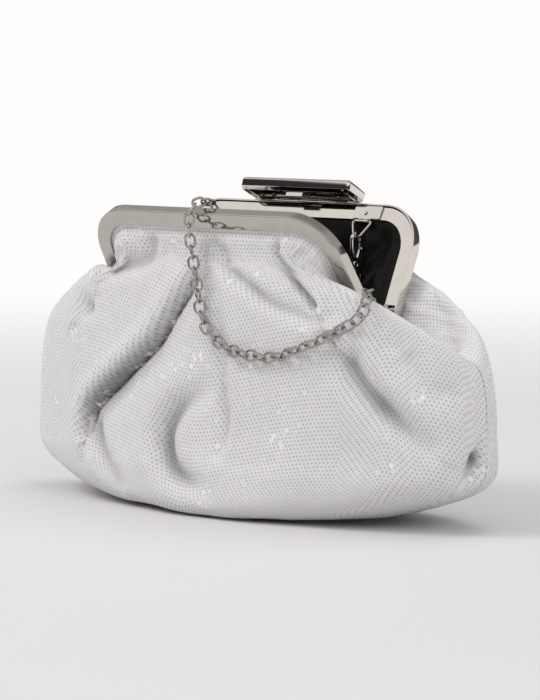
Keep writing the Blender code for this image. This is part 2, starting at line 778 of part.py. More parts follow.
# The chain's route in millimetres: from the right hinge's claw over the pouch's shoulder, across
# the front, over the front half's top bar, down inside and back up to the claw on the D-ring.
CHAIN_ROUTE = (
    (89.6, -16.4, 104.6), (90.6, -18.3, 107.8), (92.4, -21.3, 111.6), (95.4, -25.2, 113.6),
    (98.6, -28.8, 112.9), (101.2, -32.4, 110.1), (102, -35, 105.5), (99.6, -36.6, 101),
    (94, -37, 97), (86.7, -38, 92.6), (76.2, -40.2, 87.6), (65, -42.3, 84.1),
    (56.2, -43.5, 81.7), (47.4, -44.5, 80.3), (36.1, -45.4, 81.1), (25, -45.7, 82.8),
    (16.2, -45.6, 86.7), (9.2, -45.4, 91.7), (4.6, -44.9, 100.2), (1.8, -44.2, 110.8),
    (-2, -43, 123.5), (-5, -42.4, 134), (-5, -43.5, 142.8), (-4, -44.5, 146.6),
    (-3, -43.5, 150.4), (-2, -40.7, 153.2), (-1, -36.9, 154.2), (0, -33.1, 153.2), (0.7, -30.3, 150.4),
    (1, -27.7, 143.9), (1.3, -25.8, 134), (2, -23.5, 118), (4, -18.5, 98), (8, -11, 74),
    (13, -4, 57), (20, 2, 46), (28, 6.5, 42.5), (35, 10.5, 46.5), (40.5, 15, 61),
    (43.6, 19.3, 86), (44.9, 22.8, 106), (44.9, 23.7, 118),
)


def chain():
    """The plain round solids that the cable chain fills, parted at its lowest point."""
    points = even_points([Vector(p) * MM for p in CHAIN_ROUTE], CHAIN_STEP)
    low = min(range(len(points)), key=lambda i: points[i].z)
    middle = (points[low] + points[low + 1]) / 2
    step = (points[low + 1] - points[low]).normalized() * GAP / 2
    runs = (("chain_outer", [*points[:low + 1], middle - step]),
            ("chain_inner", [middle + step, *points[low + 1:]]))
    for name, run in runs:
        dress(wire(name, run, CHAIN_RADIUS), NICKEL)


# ---------------------------------------------------------------- assembly

def build():
    rear_pivot = pivot("rear_frame_pivot", (0, 0, HINGE_HEIGHT), -TILT[REAR])
    front_pivot = pivot("front_frame_pivot", (0, 0, HINGE_HEIGHT), TILT[FRONT])
    bar_pivot = pivot("clasp_bar_pivot", (0, PIN_N, PIN_V), parent=rear_pivot)

    add_ears(outer_frame(REAR, rear_pivot, 0.0), REAR, rear_pivot)
    add_ears(outer_frame(FRONT, front_pivot, FRONT_ARM_FOOT), FRONT, front_pivot)
    rear_strip = retaining_strip(REAR, rear_pivot)
    retaining_strip(FRONT, front_pivot)
    hinge_rivet(-1)
    hinge_rivet(1)

    clasp_bar(bar_pivot)
    clasp_catch(bar_pivot)
    clasp_brackets(rear_pivot)
    dress(rod("clasp_pin", (0, PIN_N, PIN_V), PIN_RADIUS, PIN_LENGTH, "X", rear_pivot), NICKEL)
    clasp_spring(rear_pivot)

    chain_tab(rear_pivot, rear_strip)
    ring_pivot = pivot("d_ring_pivot", KNUCKLE, TILT[REAR] - RING_LEAN, rear_pivot)
    d_ring(ring_pivot)
    hang_claw("inner_claw", ring_pivot, (0, 0, -RING_DROP), RING_LEAN)

    eye_pivot = pivot("hinge_eye_pivot", (0, 0, HINGE_HEIGHT))
    hinge_eye(eye_pivot)
    x, height, reach = EYE_LOOP
    hang_claw("outer_claw", eye_pivot, (x, 0, height + reach), OUTER_CLAW_PITCH, math.pi)

    panel_layers(FRONT)
    panel_layers(REAR)
    chain()


build()
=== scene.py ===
"""Looks of the evening bag: gathered sequin fabric on a polished two-part frame, with its chain.

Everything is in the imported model's frame, in metres. X runs along the frame, the front is -Y,
and the bag stands on Z = 0. In a frame half, v runs up from the hinge axis, n runs outwards
from the plane in which the halves meet, and an inset is measured inwards from its outline.
"""
import math

import bmesh
import bpy
import numpy as np
from mathutils import Matrix, Vector
from mathutils.kdtree import KDTree


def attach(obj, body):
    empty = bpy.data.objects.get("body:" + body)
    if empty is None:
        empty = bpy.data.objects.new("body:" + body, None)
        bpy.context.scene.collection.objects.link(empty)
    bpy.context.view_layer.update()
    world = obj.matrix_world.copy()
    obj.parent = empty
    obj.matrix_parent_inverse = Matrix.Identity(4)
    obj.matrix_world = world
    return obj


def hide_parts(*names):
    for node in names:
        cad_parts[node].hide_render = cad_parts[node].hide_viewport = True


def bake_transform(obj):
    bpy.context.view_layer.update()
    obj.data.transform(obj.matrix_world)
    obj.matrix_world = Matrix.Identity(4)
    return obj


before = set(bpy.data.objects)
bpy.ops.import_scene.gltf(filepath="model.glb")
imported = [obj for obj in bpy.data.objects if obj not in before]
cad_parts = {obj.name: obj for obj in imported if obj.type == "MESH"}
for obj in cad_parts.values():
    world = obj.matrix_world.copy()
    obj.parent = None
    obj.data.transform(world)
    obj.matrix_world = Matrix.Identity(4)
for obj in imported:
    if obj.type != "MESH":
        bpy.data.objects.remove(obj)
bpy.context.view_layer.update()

MM = 0.001


def mm(*lengths):
    return tuple(k * MM for k in lengths)


# Frame halves, as in the CAD model
FRAME_WIDTH = 165 * MM
FRAME_HEIGHT = 71.7 * MM
CORNER_RADIUS = 26.4 * MM
ARM_SPLAY = 3.35 * MM
FRAME_DEPTH = 5.6 * MM
PLATE_WIDTH = 8.5 * MM
SHEET = 1.0 * MM
GAP = 0.3 * MM
RIM = GAP / 2
HINGE_HEIGHT = 88.5 * MM
FRONT, REAR = -1, 1
SIDE_WORD = {FRONT: "front", REAR: "rear"}
TILT = {FRONT: math.radians(30), REAR: math.radians(28)}
ARM = FRAME_HEIGHT - CORNER_RADIUS
HALF_WIDTH = FRAME_WIDTH / 2
HINGE_X = HALF_WIDTH + ARM_SPLAY
STRIP_INSET = 1.4 * MM
STRIP_DEPTH = 1.0 * MM
STRIP_SHEET = 0.8 * MM
STRIP_FOOT = 18.5 * MM
EAR_RADIUS = 4.0 * MM
EAR_BORE = 1.29 * MM
FRONT_ARM_FOOT = 5.2 * MM
STRAP_X = 83.2 * MM
STRAP_TOP = 9 * MM

# Clasp bar
BAR_LENGTH = 74 * MM
BAR_FRONT, BAR_REAR = -10 * MM, 5 * MM
BAR_BOTTOM = FRAME_HEIGHT + 1.5 * MM
BAR_TOP = BAR_BOTTOM + 6.5 * MM
BAR_WALL = 1.2 * MM
BAR_CHAMFER = 1.5 * MM
BAR_SLOPE = 0.7 * MM
RIB_X = 33 * MM

# Pouch: half-width, half-depth and height of each ring, from the shoulder down, and how
# much an inner layer's ring is lifted rather than shrunk
SHOULDER = mm(140, 40)
POUCH_RINGS = ((mm(148, 46, 42), 0.0), (mm(141, 51, 20), 0.4), (mm(98, 52, 5), 0.9),
               (mm(62, 36, 0), 1.0))
# Lining rings: half-width, half-depth, height, and how far the ends dip below the middle
LINING_RINGS = (mm(68, 35, 106, 33), mm(112, 36, 67, 0), mm(137, 40, 42, 0), mm(130, 44, 22, 0),
                mm(90, 44, 9, 0), mm(56, 30, 4, 0))
RING_POWER = 2.2
SWING = 9 * MM
SHOULDER_RISE = 26 * MM
SHOULDER_DIP = 8 * MM
SHOULDER_FALL = 1.4
FABRIC = 1.2 * MM
LAYER_GAP = 0.7 * MM
WADDING = 0.8 * MM
LINING = 0.5 * MM

# Chain: each link's length, width and wire
LINK = mm(8.1, 6.5, 1.3)
END_RING = mm(8.4, 7.2, 1.1)
LINK_PITCH = 5.5 * MM
CHAIN_STEP = 5.3 * MM


# ---- camera, light and floor

AZIMUTH = math.radians(42.91)
ELEVATION = math.radians(5.1)
DISTANCE = 1.63311
LENS = 168.05
TARGET = Vector(mm(4.83, 4.49, 78.3))


def add_aimed(name, data, away):
    """An object that looks at the target from a place given relative to it."""
    obj = bpy.data.objects.new(name, data)
    bpy.context.scene.collection.objects.link(obj)
    obj.location = TARGET + away
    obj.rotation_euler = away.to_track_quat("Z", "Y").to_euler()
    return obj


def add_camera():
    data = bpy.data.cameras.new("camera")
    data.lens = LENS
    data.sensor_width = 36
    data.clip_end = 20
    away = Vector((math.sin(AZIMUTH) * math.cos(ELEVATION),
                   -math.cos(AZIMUTH) * math.cos(ELEVATION), math.sin(ELEVATION)))
    bpy.context.scene.camera = add_aimed("camera", data, DISTANCE * away)


def add_light(name, place_at, size, power, color=(1, 1, 1)):
    data = bpy.data.lights.new(name, "AREA")
    data.shape = "RECTANGLE"
    data.size, data.size_y = size
    data.energy = power
    data.color = color
    add_aimed(name, data, Vector(place_at) - TARGET).visible_glossy = False


class Nodes:
    """Short calls for building a node tree. Values may be sockets, numbers or colours."""

    def __init__(self, tree):
        self.tree = tree

    def put(self, socket, value):
        if hasattr(value, "is_linked"):
            self.tree.links.new(value, socket)
        elif isinstance(value, tuple) and socket.type == "RGBA":
            socket.default_value = (*value, 1)
        else:
            socket.default_value = value

    def fill(self, node, inputs):
        for key, value in inputs.items():
            self.put(node.inputs[key], value)
        return node

    def add(self, kind, inputs=(), **settings):
        node = self.tree.nodes.new(kind)
        for key, value in settings.items():
            setattr(node, key, value)
        return self.fill(node, dict(inputs))

    def math(self, operation, *values):
        return self.add("ShaderNodeMath", enumerate(values), operation=operation).outputs[0]

    def times(self, first, *factors):
        for factor in factors:
            first = self.math("MULTIPLY", first, factor)
        return first

    def less(self, value, share=1.0):
        """What remains of 1 once a share of value is taken from it."""
        return self.math("SUBTRACT", 1.0, self.times(value, share))

    def span(self, value, low, high, to_low=0.0, to_high=1.0):
        """value carried smoothly from one range to another, held at its ends."""
        node = self.add("ShaderNodeMapRange", {
            "Value": value, "From Min": low, "From Max": high, "To Min": to_low,
            "To Max": to_high}, interpolation_type="SMOOTHSTEP")
        return node.outputs["Result"]

    def mix(self, factor, a, b):
        return self.add("ShaderNodeMix", {0: factor, 6: a, 7: b}, data_type="RGBA").outputs[2]

    def noise(self, coordinates, scale, detail, roughness=0.5):
        node = self.add("ShaderNodeTexNoise", {"Vector": coordinates, "Scale": scale,
                                               "Detail": detail, "Roughness": roughness})
        return node.outputs["Fac"]

    def place(self):
        return self.add("ShaderNodeTexCoord").outputs["Object"]

    def bump(self, shader, height, strength, distance):
        node = self.add("ShaderNodeBump", {"Strength": strength, "Distance": distance,
                                           "Height": height})
        self.put(shader.inputs["Normal"], node.outputs[0])


HORIZON = (1.0, 0.99, 0.975)


def set_world():
    """A white studio with dark bands in front and behind and duller light above, for the metal."""
    world = bpy.data.worlds.new("studio")
    bpy.context.scene.world = world
    world.use_nodes = True
    n = Nodes(world.node_tree)
    n.tree.nodes.clear()
    direction = n.add("ShaderNodeTexCoord").outputs["Generated"]
    parts = n.add("ShaderNodeSeparateXYZ", {0: direction})
    ahead = n.times(parts.outputs["Y"], -1.0)
    height = parts.outputs["Z"]
    front = n.times(n.span(ahead, 0.15, 0.4), n.span(height, 0.40, 0.33))
    ceiling = n.times(n.span(ahead, 0.2, -0.2), n.span(height, 0.2, 0.5))
    back = n.times(n.span(ahead, -0.3, -0.6), n.span(height, 0.16, 0.2),
                   n.span(height, 0.45, 0.36))
    zenith = n.span(height, 0.72, 0.95)
    level = n.times(n.less(front, 0.96), n.less(ceiling, 0.5), n.less(zenith, 0.35),
                    n.less(back, 0.9))
    background = n.add("ShaderNodeBackground", {"Color": n.mix(level, (0, 0, 0), HORIZON),
                                                "Strength": 1.0})
    n.add("ShaderNodeOutputWorld", {"Surface": background.outputs[0]})


def new_material(name):
    made = bpy.data.materials.new(name)
    made.use_nodes = True
    return Nodes(made.node_tree), made, made.node_tree.nodes["Principled BSDF"]


def add_floor():
    """A pale floor that brightens with distance until it meets the white horizon."""
    bpy.ops.mesh.primitive_circle_add(vertices=96, radius=30, fill_type="NGON",
                                      location=(0, 0, -0.4 * MM))
    floor = bpy.context.object
    floor.name = "floor"
    n, made, shader = new_material("floor")
    n.fill(shader, {"Base Color": (0.74, 0.735, 0.73), "Roughness": 0.8,
                    "Specular IOR Level": 0.2})
    away = n.add("ShaderNodeVectorMath", {0: n.place()}, operation="LENGTH").outputs["Value"]
    glow = n.add("ShaderNodeEmission", {"Color": HORIZON})
    mixed = n.add("ShaderNodeMixShader", {0: n.span(away, 0.3, 1.6), 1: shader.outputs[0],
                                          2: glow.outputs[0]})
    n.fill(made.node_tree.nodes["Material Output"], {"Surface": mixed.outputs[0]})
    floor.data.materials.append(made)


bpy.context.scene.view_settings.view_transform = "Standard"
add_camera()
set_world()
add_floor()
add_light("key", (-0.9, -1.2, 1.5), (0.8, 0.8), 15, (1.0, 0.985, 0.97))
add_light("fill", (1.7, -0.7, 0.9), (0.8, 0.8), 5, (1.0, 0.98, 0.96))
add_light("top", (0.1, 0.6, 1.6), (1.0, 0.8), 6)


# ---- materials

def metal(name, color, roughness, scratch):
    """Polished metal with faint cloudy polish marks and fine scratches."""
    n, made, shader = new_material(name)
    place_at = n.place()
    cloud = n.noise(place_at, 140, 4)
    stretched = n.add("ShaderNodeMapping", {"Vector": place_at, "Scale": (60, 900, 900),
                                            "Rotation": (0.3, 0.2, 0.5)})
    lines = n.noise(stretched.outputs[0], 1.0, 2)
    dull = tuple(0.95 * c for c in color)
    n.fill(shader, {"Base Color": n.mix(n.span(cloud, 0.35, 0.7), color, dull), "Metallic": 1.0,
                    "Roughness": n.span(cloud, 0.3, 0.75, roughness, roughness * 1.5)})
    n.bump(shader, n.math("ADD", lines, n.times(cloud, 0.6)), scratch, 0.02 * MM)
    return made


def sequin_fabric():
    """Staggered flat sequins, each with a sewing hole and its own slight lean, with painted glints
    on a few and painted shade in the folds.
    """
    n, made, shader = new_material("sequin_fabric")
    pitch = 2.2 * MM
    row_share = 0.866
    cut = n.add("ShaderNodeAttribute", attribute_name="cut").outputs["Vector"]
    parts = n.add("ShaderNodeSeparateXYZ", {0: cut})
    across = n.math("DIVIDE", parts.outputs["X"], pitch)
    down = n.math("DIVIDE", parts.outputs["Y"], pitch * row_share)
    row = n.math("FLOOR", down)
    across = n.math("ADD", across, n.times(n.math("FLOORED_MODULO", row, 2.0), 0.5))
    column = n.math("FLOOR", across)
    dx = n.math("SUBTRACT", n.math("FRACT", across), 0.5)
    dy = n.times(n.math("SUBTRACT", n.math("FRACT", down), 0.5), row_share)
    reach = n.math("SQRT", n.math("ADD", n.times(dx, dx), n.times(dy, dy)))
    cell = n.add("ShaderNodeCombineXYZ", {"X": column, "Y": row})
    chance = n.add("ShaderNodeTexWhiteNoise", noise_dimensions="2D")
    n.fill(chance, {"Vector": cell.outputs[0]})
    spread = n.add("ShaderNodeSeparateColor", {0: chance.outputs["Color"]})
    red, green, blue = (spread.outputs[name] for name in ("Red", "Green", "Blue"))
    hole = n.span(reach, 0.31, 0.13)
    seam = n.span(reach, 0.44, 0.56)
    cloud = n.noise(n.place(), 30, 4)
    glint_patches = n.noise(n.place(), 55, 2)
    # Painted glints: a few sequins in scattered patches are turned white, standing in for their
    # sparkle.
    painted_glint = n.times(n.span(red, 0.8, 0.97), n.span(glint_patches, 0.55, 0.68),
                    n.span(reach, 0.48, 0.36))
    # Painted shade: deep in the folds and under overhanging rolls the colour is darkened nearly to
    # black.
    painted_valley_shade = n.add("ShaderNodeAttribute", attribute_name="painted_valley_shade").outputs["Fac"]
    tone = n.mix(cloud, (0.74, 0.725, 0.745), (0.84, 0.825, 0.845))
    for mask, share, color in ((green, 0.35, (0.62, 0.605, 0.62)),
                               (seam, 0.18, (0.50, 0.49, 0.50)),
                               (hole, 0.62, (0.24, 0.23, 0.245)),
                               (painted_glint, 0.8, (1.0, 1.0, 1.0)),
                               (painted_valley_shade, 0.82, (0.085, 0.078, 0.08))):
        tone = n.mix(n.times(mask, share), tone, color)
    n.fill(shader, {"Base Color": tone, "Roughness": n.span(blue, 0.0, 1.0, 0.45, 0.7),
                    "Specular IOR Level": 0.35, "Sheen Weight": 0.1, "Sheen Roughness": 0.5})
    lean = n.math("ADD", n.times(dx, n.math("SUBTRACT", red, 0.5)),
                  n.times(dy, n.math("SUBTRACT", green, 0.5)))
    dome = n.times(n.less(seam), n.less(hole))
    n.bump(shader, n.math("ADD", n.times(dome, 0.4), n.times(lean, 0.7)), 0.4, 0.25 * MM)
    return made


def satin():
    """Black satin: a fine twill with a soft sheen and faint creases."""
    n, made, shader = new_material("black_satin")
    place_at = n.place()
    crease = n.noise(place_at, 60, 5, 0.6)
    twill = n.add("ShaderNodeTexWave", {"Vector": place_at, "Scale": 900, "Distortion": 0.6},
                  wave_type="BANDS", bands_direction="DIAGONAL")
    n.fill(shader, {"Base Color": n.mix(crease, (0.003, 0.0026, 0.0024), (0.008, 0.007, 0.0065)),
                    "Roughness": n.span(crease, 0.3, 0.7, 0.42, 0.58),
                    "Specular IOR Level": 0.1})
    height = n.math("ADD", n.times(crease, 2.0), n.times(twill.outputs["Fac"], 0.06))
    n.bump(shader, height, 0.3, 0.3 * MM)
    return made


def felt():
    """Off-white needled wadding."""
    n, made, shader = new_material("wadding_felt")
    fuzz = n.noise(n.place(), 700, 6, 0.7)
    n.fill(shader, {"Base Color": n.mix(fuzz, (0.62, 0.61, 0.58), (0.86, 0.85, 0.82)),
                    "Roughness": 0.95, "Sheen Weight": 0.3})
    n.bump(shader, fuzz, 1.0, 0.5 * MM)
    return made


# Painted reflection: the two frame halves are one metal. The front half gets a darker copy of the
# nickel for the floor it mirrors, and the rear half a lighter one for the bright studio above.
FRAME_NICKEL = {FRONT: metal("front_nickel_painted_darker", (0.53, 0.50, 0.47), 0.07, 0.03),
                REAR: metal("rear_nickel_painted_lighter", (0.66, 0.625, 0.58), 0.05, 0.03)}
BAR_NICKEL = metal("bar_nickel", (0.70, 0.67, 0.62), 0.04, 0.02)
FITTING_NICKEL = metal("fitting_nickel", (0.64, 0.61, 0.57), 0.1, 0.06)
CHAIN_NICKEL = metal("chain_nickel", (0.46, 0.44, 0.41), 0.1, 0.08)
SPRING_STEEL = metal("spring_steel", (0.42, 0.42, 0.43), 0.25, 0.2)
SEQUINS = sequin_fabric()
SATIN = satin()
FELT = felt()


# ---- mesh helpers

def finish_piece(obj, look, body, stands_for):
    """Dress a piece and say which body it rides on and which CAD nodes it stands for."""
    obj.data.materials.clear()
    obj.data.materials.append(look)
    if body:
        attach(obj, body)
    if stands_for:
        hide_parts(*stands_for)
    return obj


def mesh_object(name, points, faces, sharp_angle):
    mesh = bpy.data.meshes.new(name)
    mesh.from_pydata([tuple(p) for p in points], [], faces)
    work = bmesh.new()
    work.from_mesh(mesh)
    bmesh.ops.recalc_face_normals(work, faces=work.faces)
    work.to_mesh(mesh)
    work.free()
    mesh.shade_smooth()
    mesh.set_sharp_from_angle(angle=math.radians(sharp_angle))
    obj = bpy.data.objects.new(name, mesh)
    bpy.context.scene.collection.objects.link(obj)
    return obj


def around(count, shift=0.0):
    """(cos, sin) at even steps around a circle."""
    turns = [2 * math.pi * (i + shift) / count for i in range(count)]
    return [(math.cos(turn), math.sin(turn)) for turn in turns]


class Shape:
    """Points and faces gathered from several closed forms that make up one piece."""

    def __init__(self):
        self.points = []
        self.faces = []

    def add(self, points, faces, matrix=None):
        start = len(self.points)
        for point in points:
            point = Vector(point)
            self.points.append(matrix @ point if matrix else point)
        self.faces += [tuple(start + i for i in face) for face in faces]

    def rings(self, rings, closed=False, matrix=None):
        """A skin over closed rings of points, capped at both ends unless it closes on itself."""
        count, width = len(rings), len(rings[0])
        faces = []
        for r in range(count if closed else count - 1):
            here, after = r * width, (r + 1) % count * width
            for c in range(width):
                side = (c + 1) % width
                faces.append((here + c, here + side, after + side, after + c))
        if not closed:
            faces.append(tuple(range(width)))
            faces.append(tuple((count - 1) * width + c for c in range(width)))
        self.add([p for ring in rings for p in ring], faces, matrix)

    def tube(self, path, radii, sides=14, closed=False, matrix=None):
        """A round bar along a path, with a radius at each point and rounded ends."""
        path = [Vector(p) for p in path]
        radii = [radii] * len(path) if isinstance(radii, float) else list(radii)
        tangents = path_tangents(path, closed)
        if not closed:
            path, radii, tangents = rounded_ends(path, radii, tangents)
        rings = []
        for point, radius, tangent, normal in zip(path, radii, tangents,
                                                  carried_normals(tangents, closed)):
            other = tangent.cross(normal)
            rings.append([point + (c * normal + s * other) * radius for c, s in around(sides)])
        self.rings(rings, closed, matrix)

    def turned(self, outline, matrix=None, sides=48):
        """A closed (radius, height) outline turned about Z."""
        self.rings([[Vector((r * c, r * s, z)) for r, z in outline] for c, s in around(sides)],
                   True, matrix)

    def piece(self, name, look, body=None, stands_for=(), slot="nickel", sharp_angle=40):
        obj = mesh_object(name, self.points, self.faces, sharp_angle)
        return finish_piece(obj, look, body, stands_for)


def path_tangents(path, closed):
    last = len(path) - 1
    made = []
    for i in range(len(path)):
        before = path[i - 1] if i > 0 or closed else path[0]
        after = path[(i + 1) % len(path)] if i < last or closed else path[last]
        made.append((after - before).normalized())
    return made


def rounded_ends(path, radii, tangents):
    """The path with a short dome of stations added at each end."""
    dome = [(math.sin(a), math.cos(a)) for a in (math.radians(k) for k in (82, 60, 38, 18))]
    head = [path[0] - tangents[0] * radii[0] * s for s, _ in dome]
    tail = [path[-1] + tangents[-1] * radii[-1] * s for s, _ in reversed(dome)]
    return ([*head, *path, *tail],
            [radii[0] * c for _, c in dome] + radii + [radii[-1] * c for _, c in reversed(dome)],
            [tangents[0]] * len(dome) + tangents + [tangents[-1]] * len(dome))


def carried_normals(tangents, closed):
    """A normal at each station, carried along the path without twist."""
    first = tangents[0].orthogonal().normalized()
    made = [first]
    for a, b in zip(tangents, tangents[1:]):
        made.append((a.rotation_difference(b) @ made[-1]).normalized())
    if closed:
        slip = tangents[-1].rotation_difference(tangents[0]) @ made[-1]
        error = math.atan2(slip.cross(first).dot(tangents[0]), slip.dot(first))
        for i, tangent in enumerate(tangents):
            made[i] = Matrix.Rotation(error * i / len(tangents), 3, tangent) @ made[i]
    return made


def blend(a, b, k):
    return a + (b - a) * k


def smooth(k):
    k = min(max(k, 0.0), 1.0)
    return k * k * (3 - 2 * k)


def soft_step(values, low, high):
    """smooth() from low to high over an array."""
    k = np.clip((values - low) / (high - low), 0, 1)
    return k * k * (3 - 2 * k)


def spline_points(points, per_span):
    """Points on a smooth curve that passes through each given point."""
    points = [Vector(p) for p in points]
    ends = [2 * points[0] - points[1], *points, 2 * points[-1] - points[-2]]
    made = []
    for i in range(1, len(ends) - 2):
        p0, p1, p2, p3 = ends[i - 1:i + 3]
        for step in range(per_span):
            k = step / per_span
            made.append(0.5 * ((2 * p1) + (p2 - p0) * k
                               + (2 * p0 - 5 * p1 + 4 * p2 - p3) * k * k
                               + (3 * p1 - p0 - 3 * p2 + p3) * k ** 3))
    made.append(points[-1])
    return made


def even_points(points, count=None, spacing=None):
    """A smooth curve through points, read at even steps along its length."""
    fine = spline_points(points, 24)
    travelled = [0.0]
    for a, b in zip(fine, fine[1:]):
        travelled.append(travelled[-1] + (b - a).length)
    count = count or round(travelled[-1] / spacing)
    made, at = [], 0
    for i in range(count + 1):
        target = travelled[-1] * i / count
        while at < len(fine) - 2 and travelled[at + 1] < target:
            at += 1
        span = max(travelled[at + 1] - travelled[at], 1e-9)
        made.append(fine[at].lerp(fine[at + 1], (target - travelled[at]) / span))
    return made


def about_x(radians):
    return Matrix.Rotation(radians, 4, "X")


AXES = {
    "X": Matrix(((0, 0, 1), (1, 0, 0), (0, 1, 0))).to_4x4(),
    "Y": Matrix(((0, 1, 0), (0, 0, 1), (1, 0, 0))).to_4x4(),
}


# ---- frame halves

TOP_RUN = FRAME_WIDTH - 2 * CORNER_RADIUS
CORNER_RUN = CORNER_RADIUS * math.pi / 2
HALF_RUN = ARM + CORNER_RUN + TOP_RUN / 2


def outline_point(run, inset):
    """(x, v) on the outline, at a signed run from the middle of the top bar."""
    side = -1 if run < 0 else 1
    run = abs(run)
    if run <= TOP_RUN / 2:
        return side * run, FRAME_HEIGHT - inset
    run -= TOP_RUN / 2
    if run <= CORNER_RUN:
        turn = run / CORNER_RADIUS
        reach = CORNER_RADIUS - inset
        x = HALF_WIDTH - CORNER_RADIUS + reach * math.sin(turn)
        return side * x, ARM + reach * math.cos(turn)
    down = min((run - CORNER_RUN) / ARM, 1.0)
    return side * (HALF_WIDTH - inset + ARM_SPLAY * down), ARM * (1 - down)


def place(side, x, v, n):
    """World position of a point of one frame half."""
    tilt = TILT[side]
    y = v * math.sin(tilt) + n * math.cos(tilt)
    z = v * math.cos(tilt) - n * math.sin(tilt)
    return Vector((x, side * y, HINGE_HEIGHT + z))


def half_matrix(side):
    """From a half's own (x, side * n, v) to the world."""
    return Matrix.Translation((0, 0, HINGE_HEIGHT)) @ about_x(-side * TILT[side])


def fine_runs(foot):
    end = HALF_RUN - foot
    arm_start = TOP_RUN / 2 + CORNER_RUN
    half = [TOP_RUN / 2 * k / 12 for k in range(12)]
    half += [TOP_RUN / 2 + CORNER_RUN * k / 28 for k in range(28)]
    half += [blend(arm_start, end, k / 12) for k in range(13)]
    return [-run for run in reversed(half[1:])] + half


def rounded(corners, steps=4):
    """A closed (inset, n) outline from corners with radii, each corner an arc of a few points."""
    made = []
    for i, (inset, n, radius) in enumerate(corners):
        here = Vector((inset, n))
        before = Vector(corners[i - 1][:2])
        after = Vector(corners[(i + 1) % len(corners)][:2])
        a = (before - here).normalized()
        b = (after - here).normalized()
        for k in range(steps + 1):
            t = k / steps
            start, end = here + a * radius, here + b * radius
            made.append(start * (1 - t) ** 2 + here * 2 * t * (1 - t) + end * t ** 2)
    return made


def section_loft(shape, side, section, foot):
    shape.rings([[place(side, *outline_point(run, inset), n) for inset, n in section]
                 for run in fine_runs(foot)])


def box(low, high):
    low, high = Vector(low), Vector(high)
    work = bmesh.new()
    bmesh.ops.create_cube(work, size=1)
    for vertex in work.verts:
        vertex.co = Vector(a * b for a, b in zip(vertex.co, high - low)) + (low + high) / 2
    return work


def slab(shape, low, high, matrix):
    """A box with lightly broken edges."""
    work = box(low, high)
    bmesh.ops.bevel(work, geom=work.edges[:], offset=0.15 * MM, segments=2, profile=0.5,
                    affect="EDGES", clamp_overlap=True)
    work.verts.index_update()
    shape.add([v.co for v in work.verts], [[v.index for v in f.verts] for f in work.faces],
              matrix)
    work.free()


def washer(radius, bore, thickness, edge=0.18 * MM):
    half = thickness / 2
    return [(bore, -half + edge), (bore + edge, -half), (radius - edge, -half),
            (radius, -half + edge), (radius, half - edge), (radius - edge, half),
            (bore + edge, half), (bore, half - edge)]


def build_frame_half(side):
    """The polished L-shaped half with its rivet ears, and the strip inside it."""
    word = SIDE_WORD[side]
    foot = FRONT_ARM_FOOT if side == FRONT else 0.0
    shape = Shape()
    section = rounded(((0, RIM, 0.25 * MM), (0, FRAME_DEPTH, 0.85 * MM),
                       (PLATE_WIDTH, FRAME_DEPTH, 0.35 * MM),
                       (PLATE_WIDTH, FRAME_DEPTH - SHEET, 0.3 * MM),
                       (SHEET, FRAME_DEPTH - SHEET, 0.3 * MM), (SHEET, RIM, 0.25 * MM)))
    section_loft(shape, side, section, foot)
    matrix = half_matrix(side)
    for hand in (-1, 1):
        x = HINGE_X - SHEET / 2 if side == REAR else STRAP_X + SHEET / 2
        shape.turned(washer(EAR_RADIUS, EAR_BORE, SHEET),
                     matrix @ Matrix.Translation((hand * x, 0, 0)) @ AXES["X"])
        if side == FRONT:
            ends = sorted((hand * STRAP_X, hand * (STRAP_X + SHEET)))
            slab(shape, (ends[0], -3.6 * MM, 1.9 * MM), (ends[1], -0.4 * MM, STRAP_TOP), matrix)
            ends = sorted((hand * (STRAP_X + 0.2 * MM), hand * (STRAP_X + 1.8 * MM)))
            slab(shape, (ends[0], -3.4 * MM, FRONT_ARM_FOOT + 0.5 * MM),
                 (ends[1], -0.6 * MM, STRAP_TOP - 0.2 * MM), matrix)
    body = word + "_frame"
    shape.piece(body + "_polished", FRAME_NICKEL[side], body, [body], sharp_angle=50)

    strip = Shape()
    section = rounded(((STRIP_INSET, STRIP_DEPTH, 0.2 * MM),
                       (STRIP_INSET, STRIP_DEPTH + STRIP_SHEET, 0.2 * MM),
                       (PLATE_WIDTH, STRIP_DEPTH + STRIP_SHEET, 0.2 * MM),
                       (PLATE_WIDTH, STRIP_DEPTH, 0.3 * MM)), 3)
    section_loft(strip, side, section, STRIP_FOOT)
    strip.piece(word + "_inner_strip", FRAME_NICKEL[side], body, [word + "_retaining_strip"],
                sharp_angle=50)


# ---- clasp

PIN_N = 2.2 * MM
PIN_V = FRAME_HEIGHT + 3.5 * MM
PIN_RADIUS = 0.75 * MM
PIN_LENGTH = 69 * MM


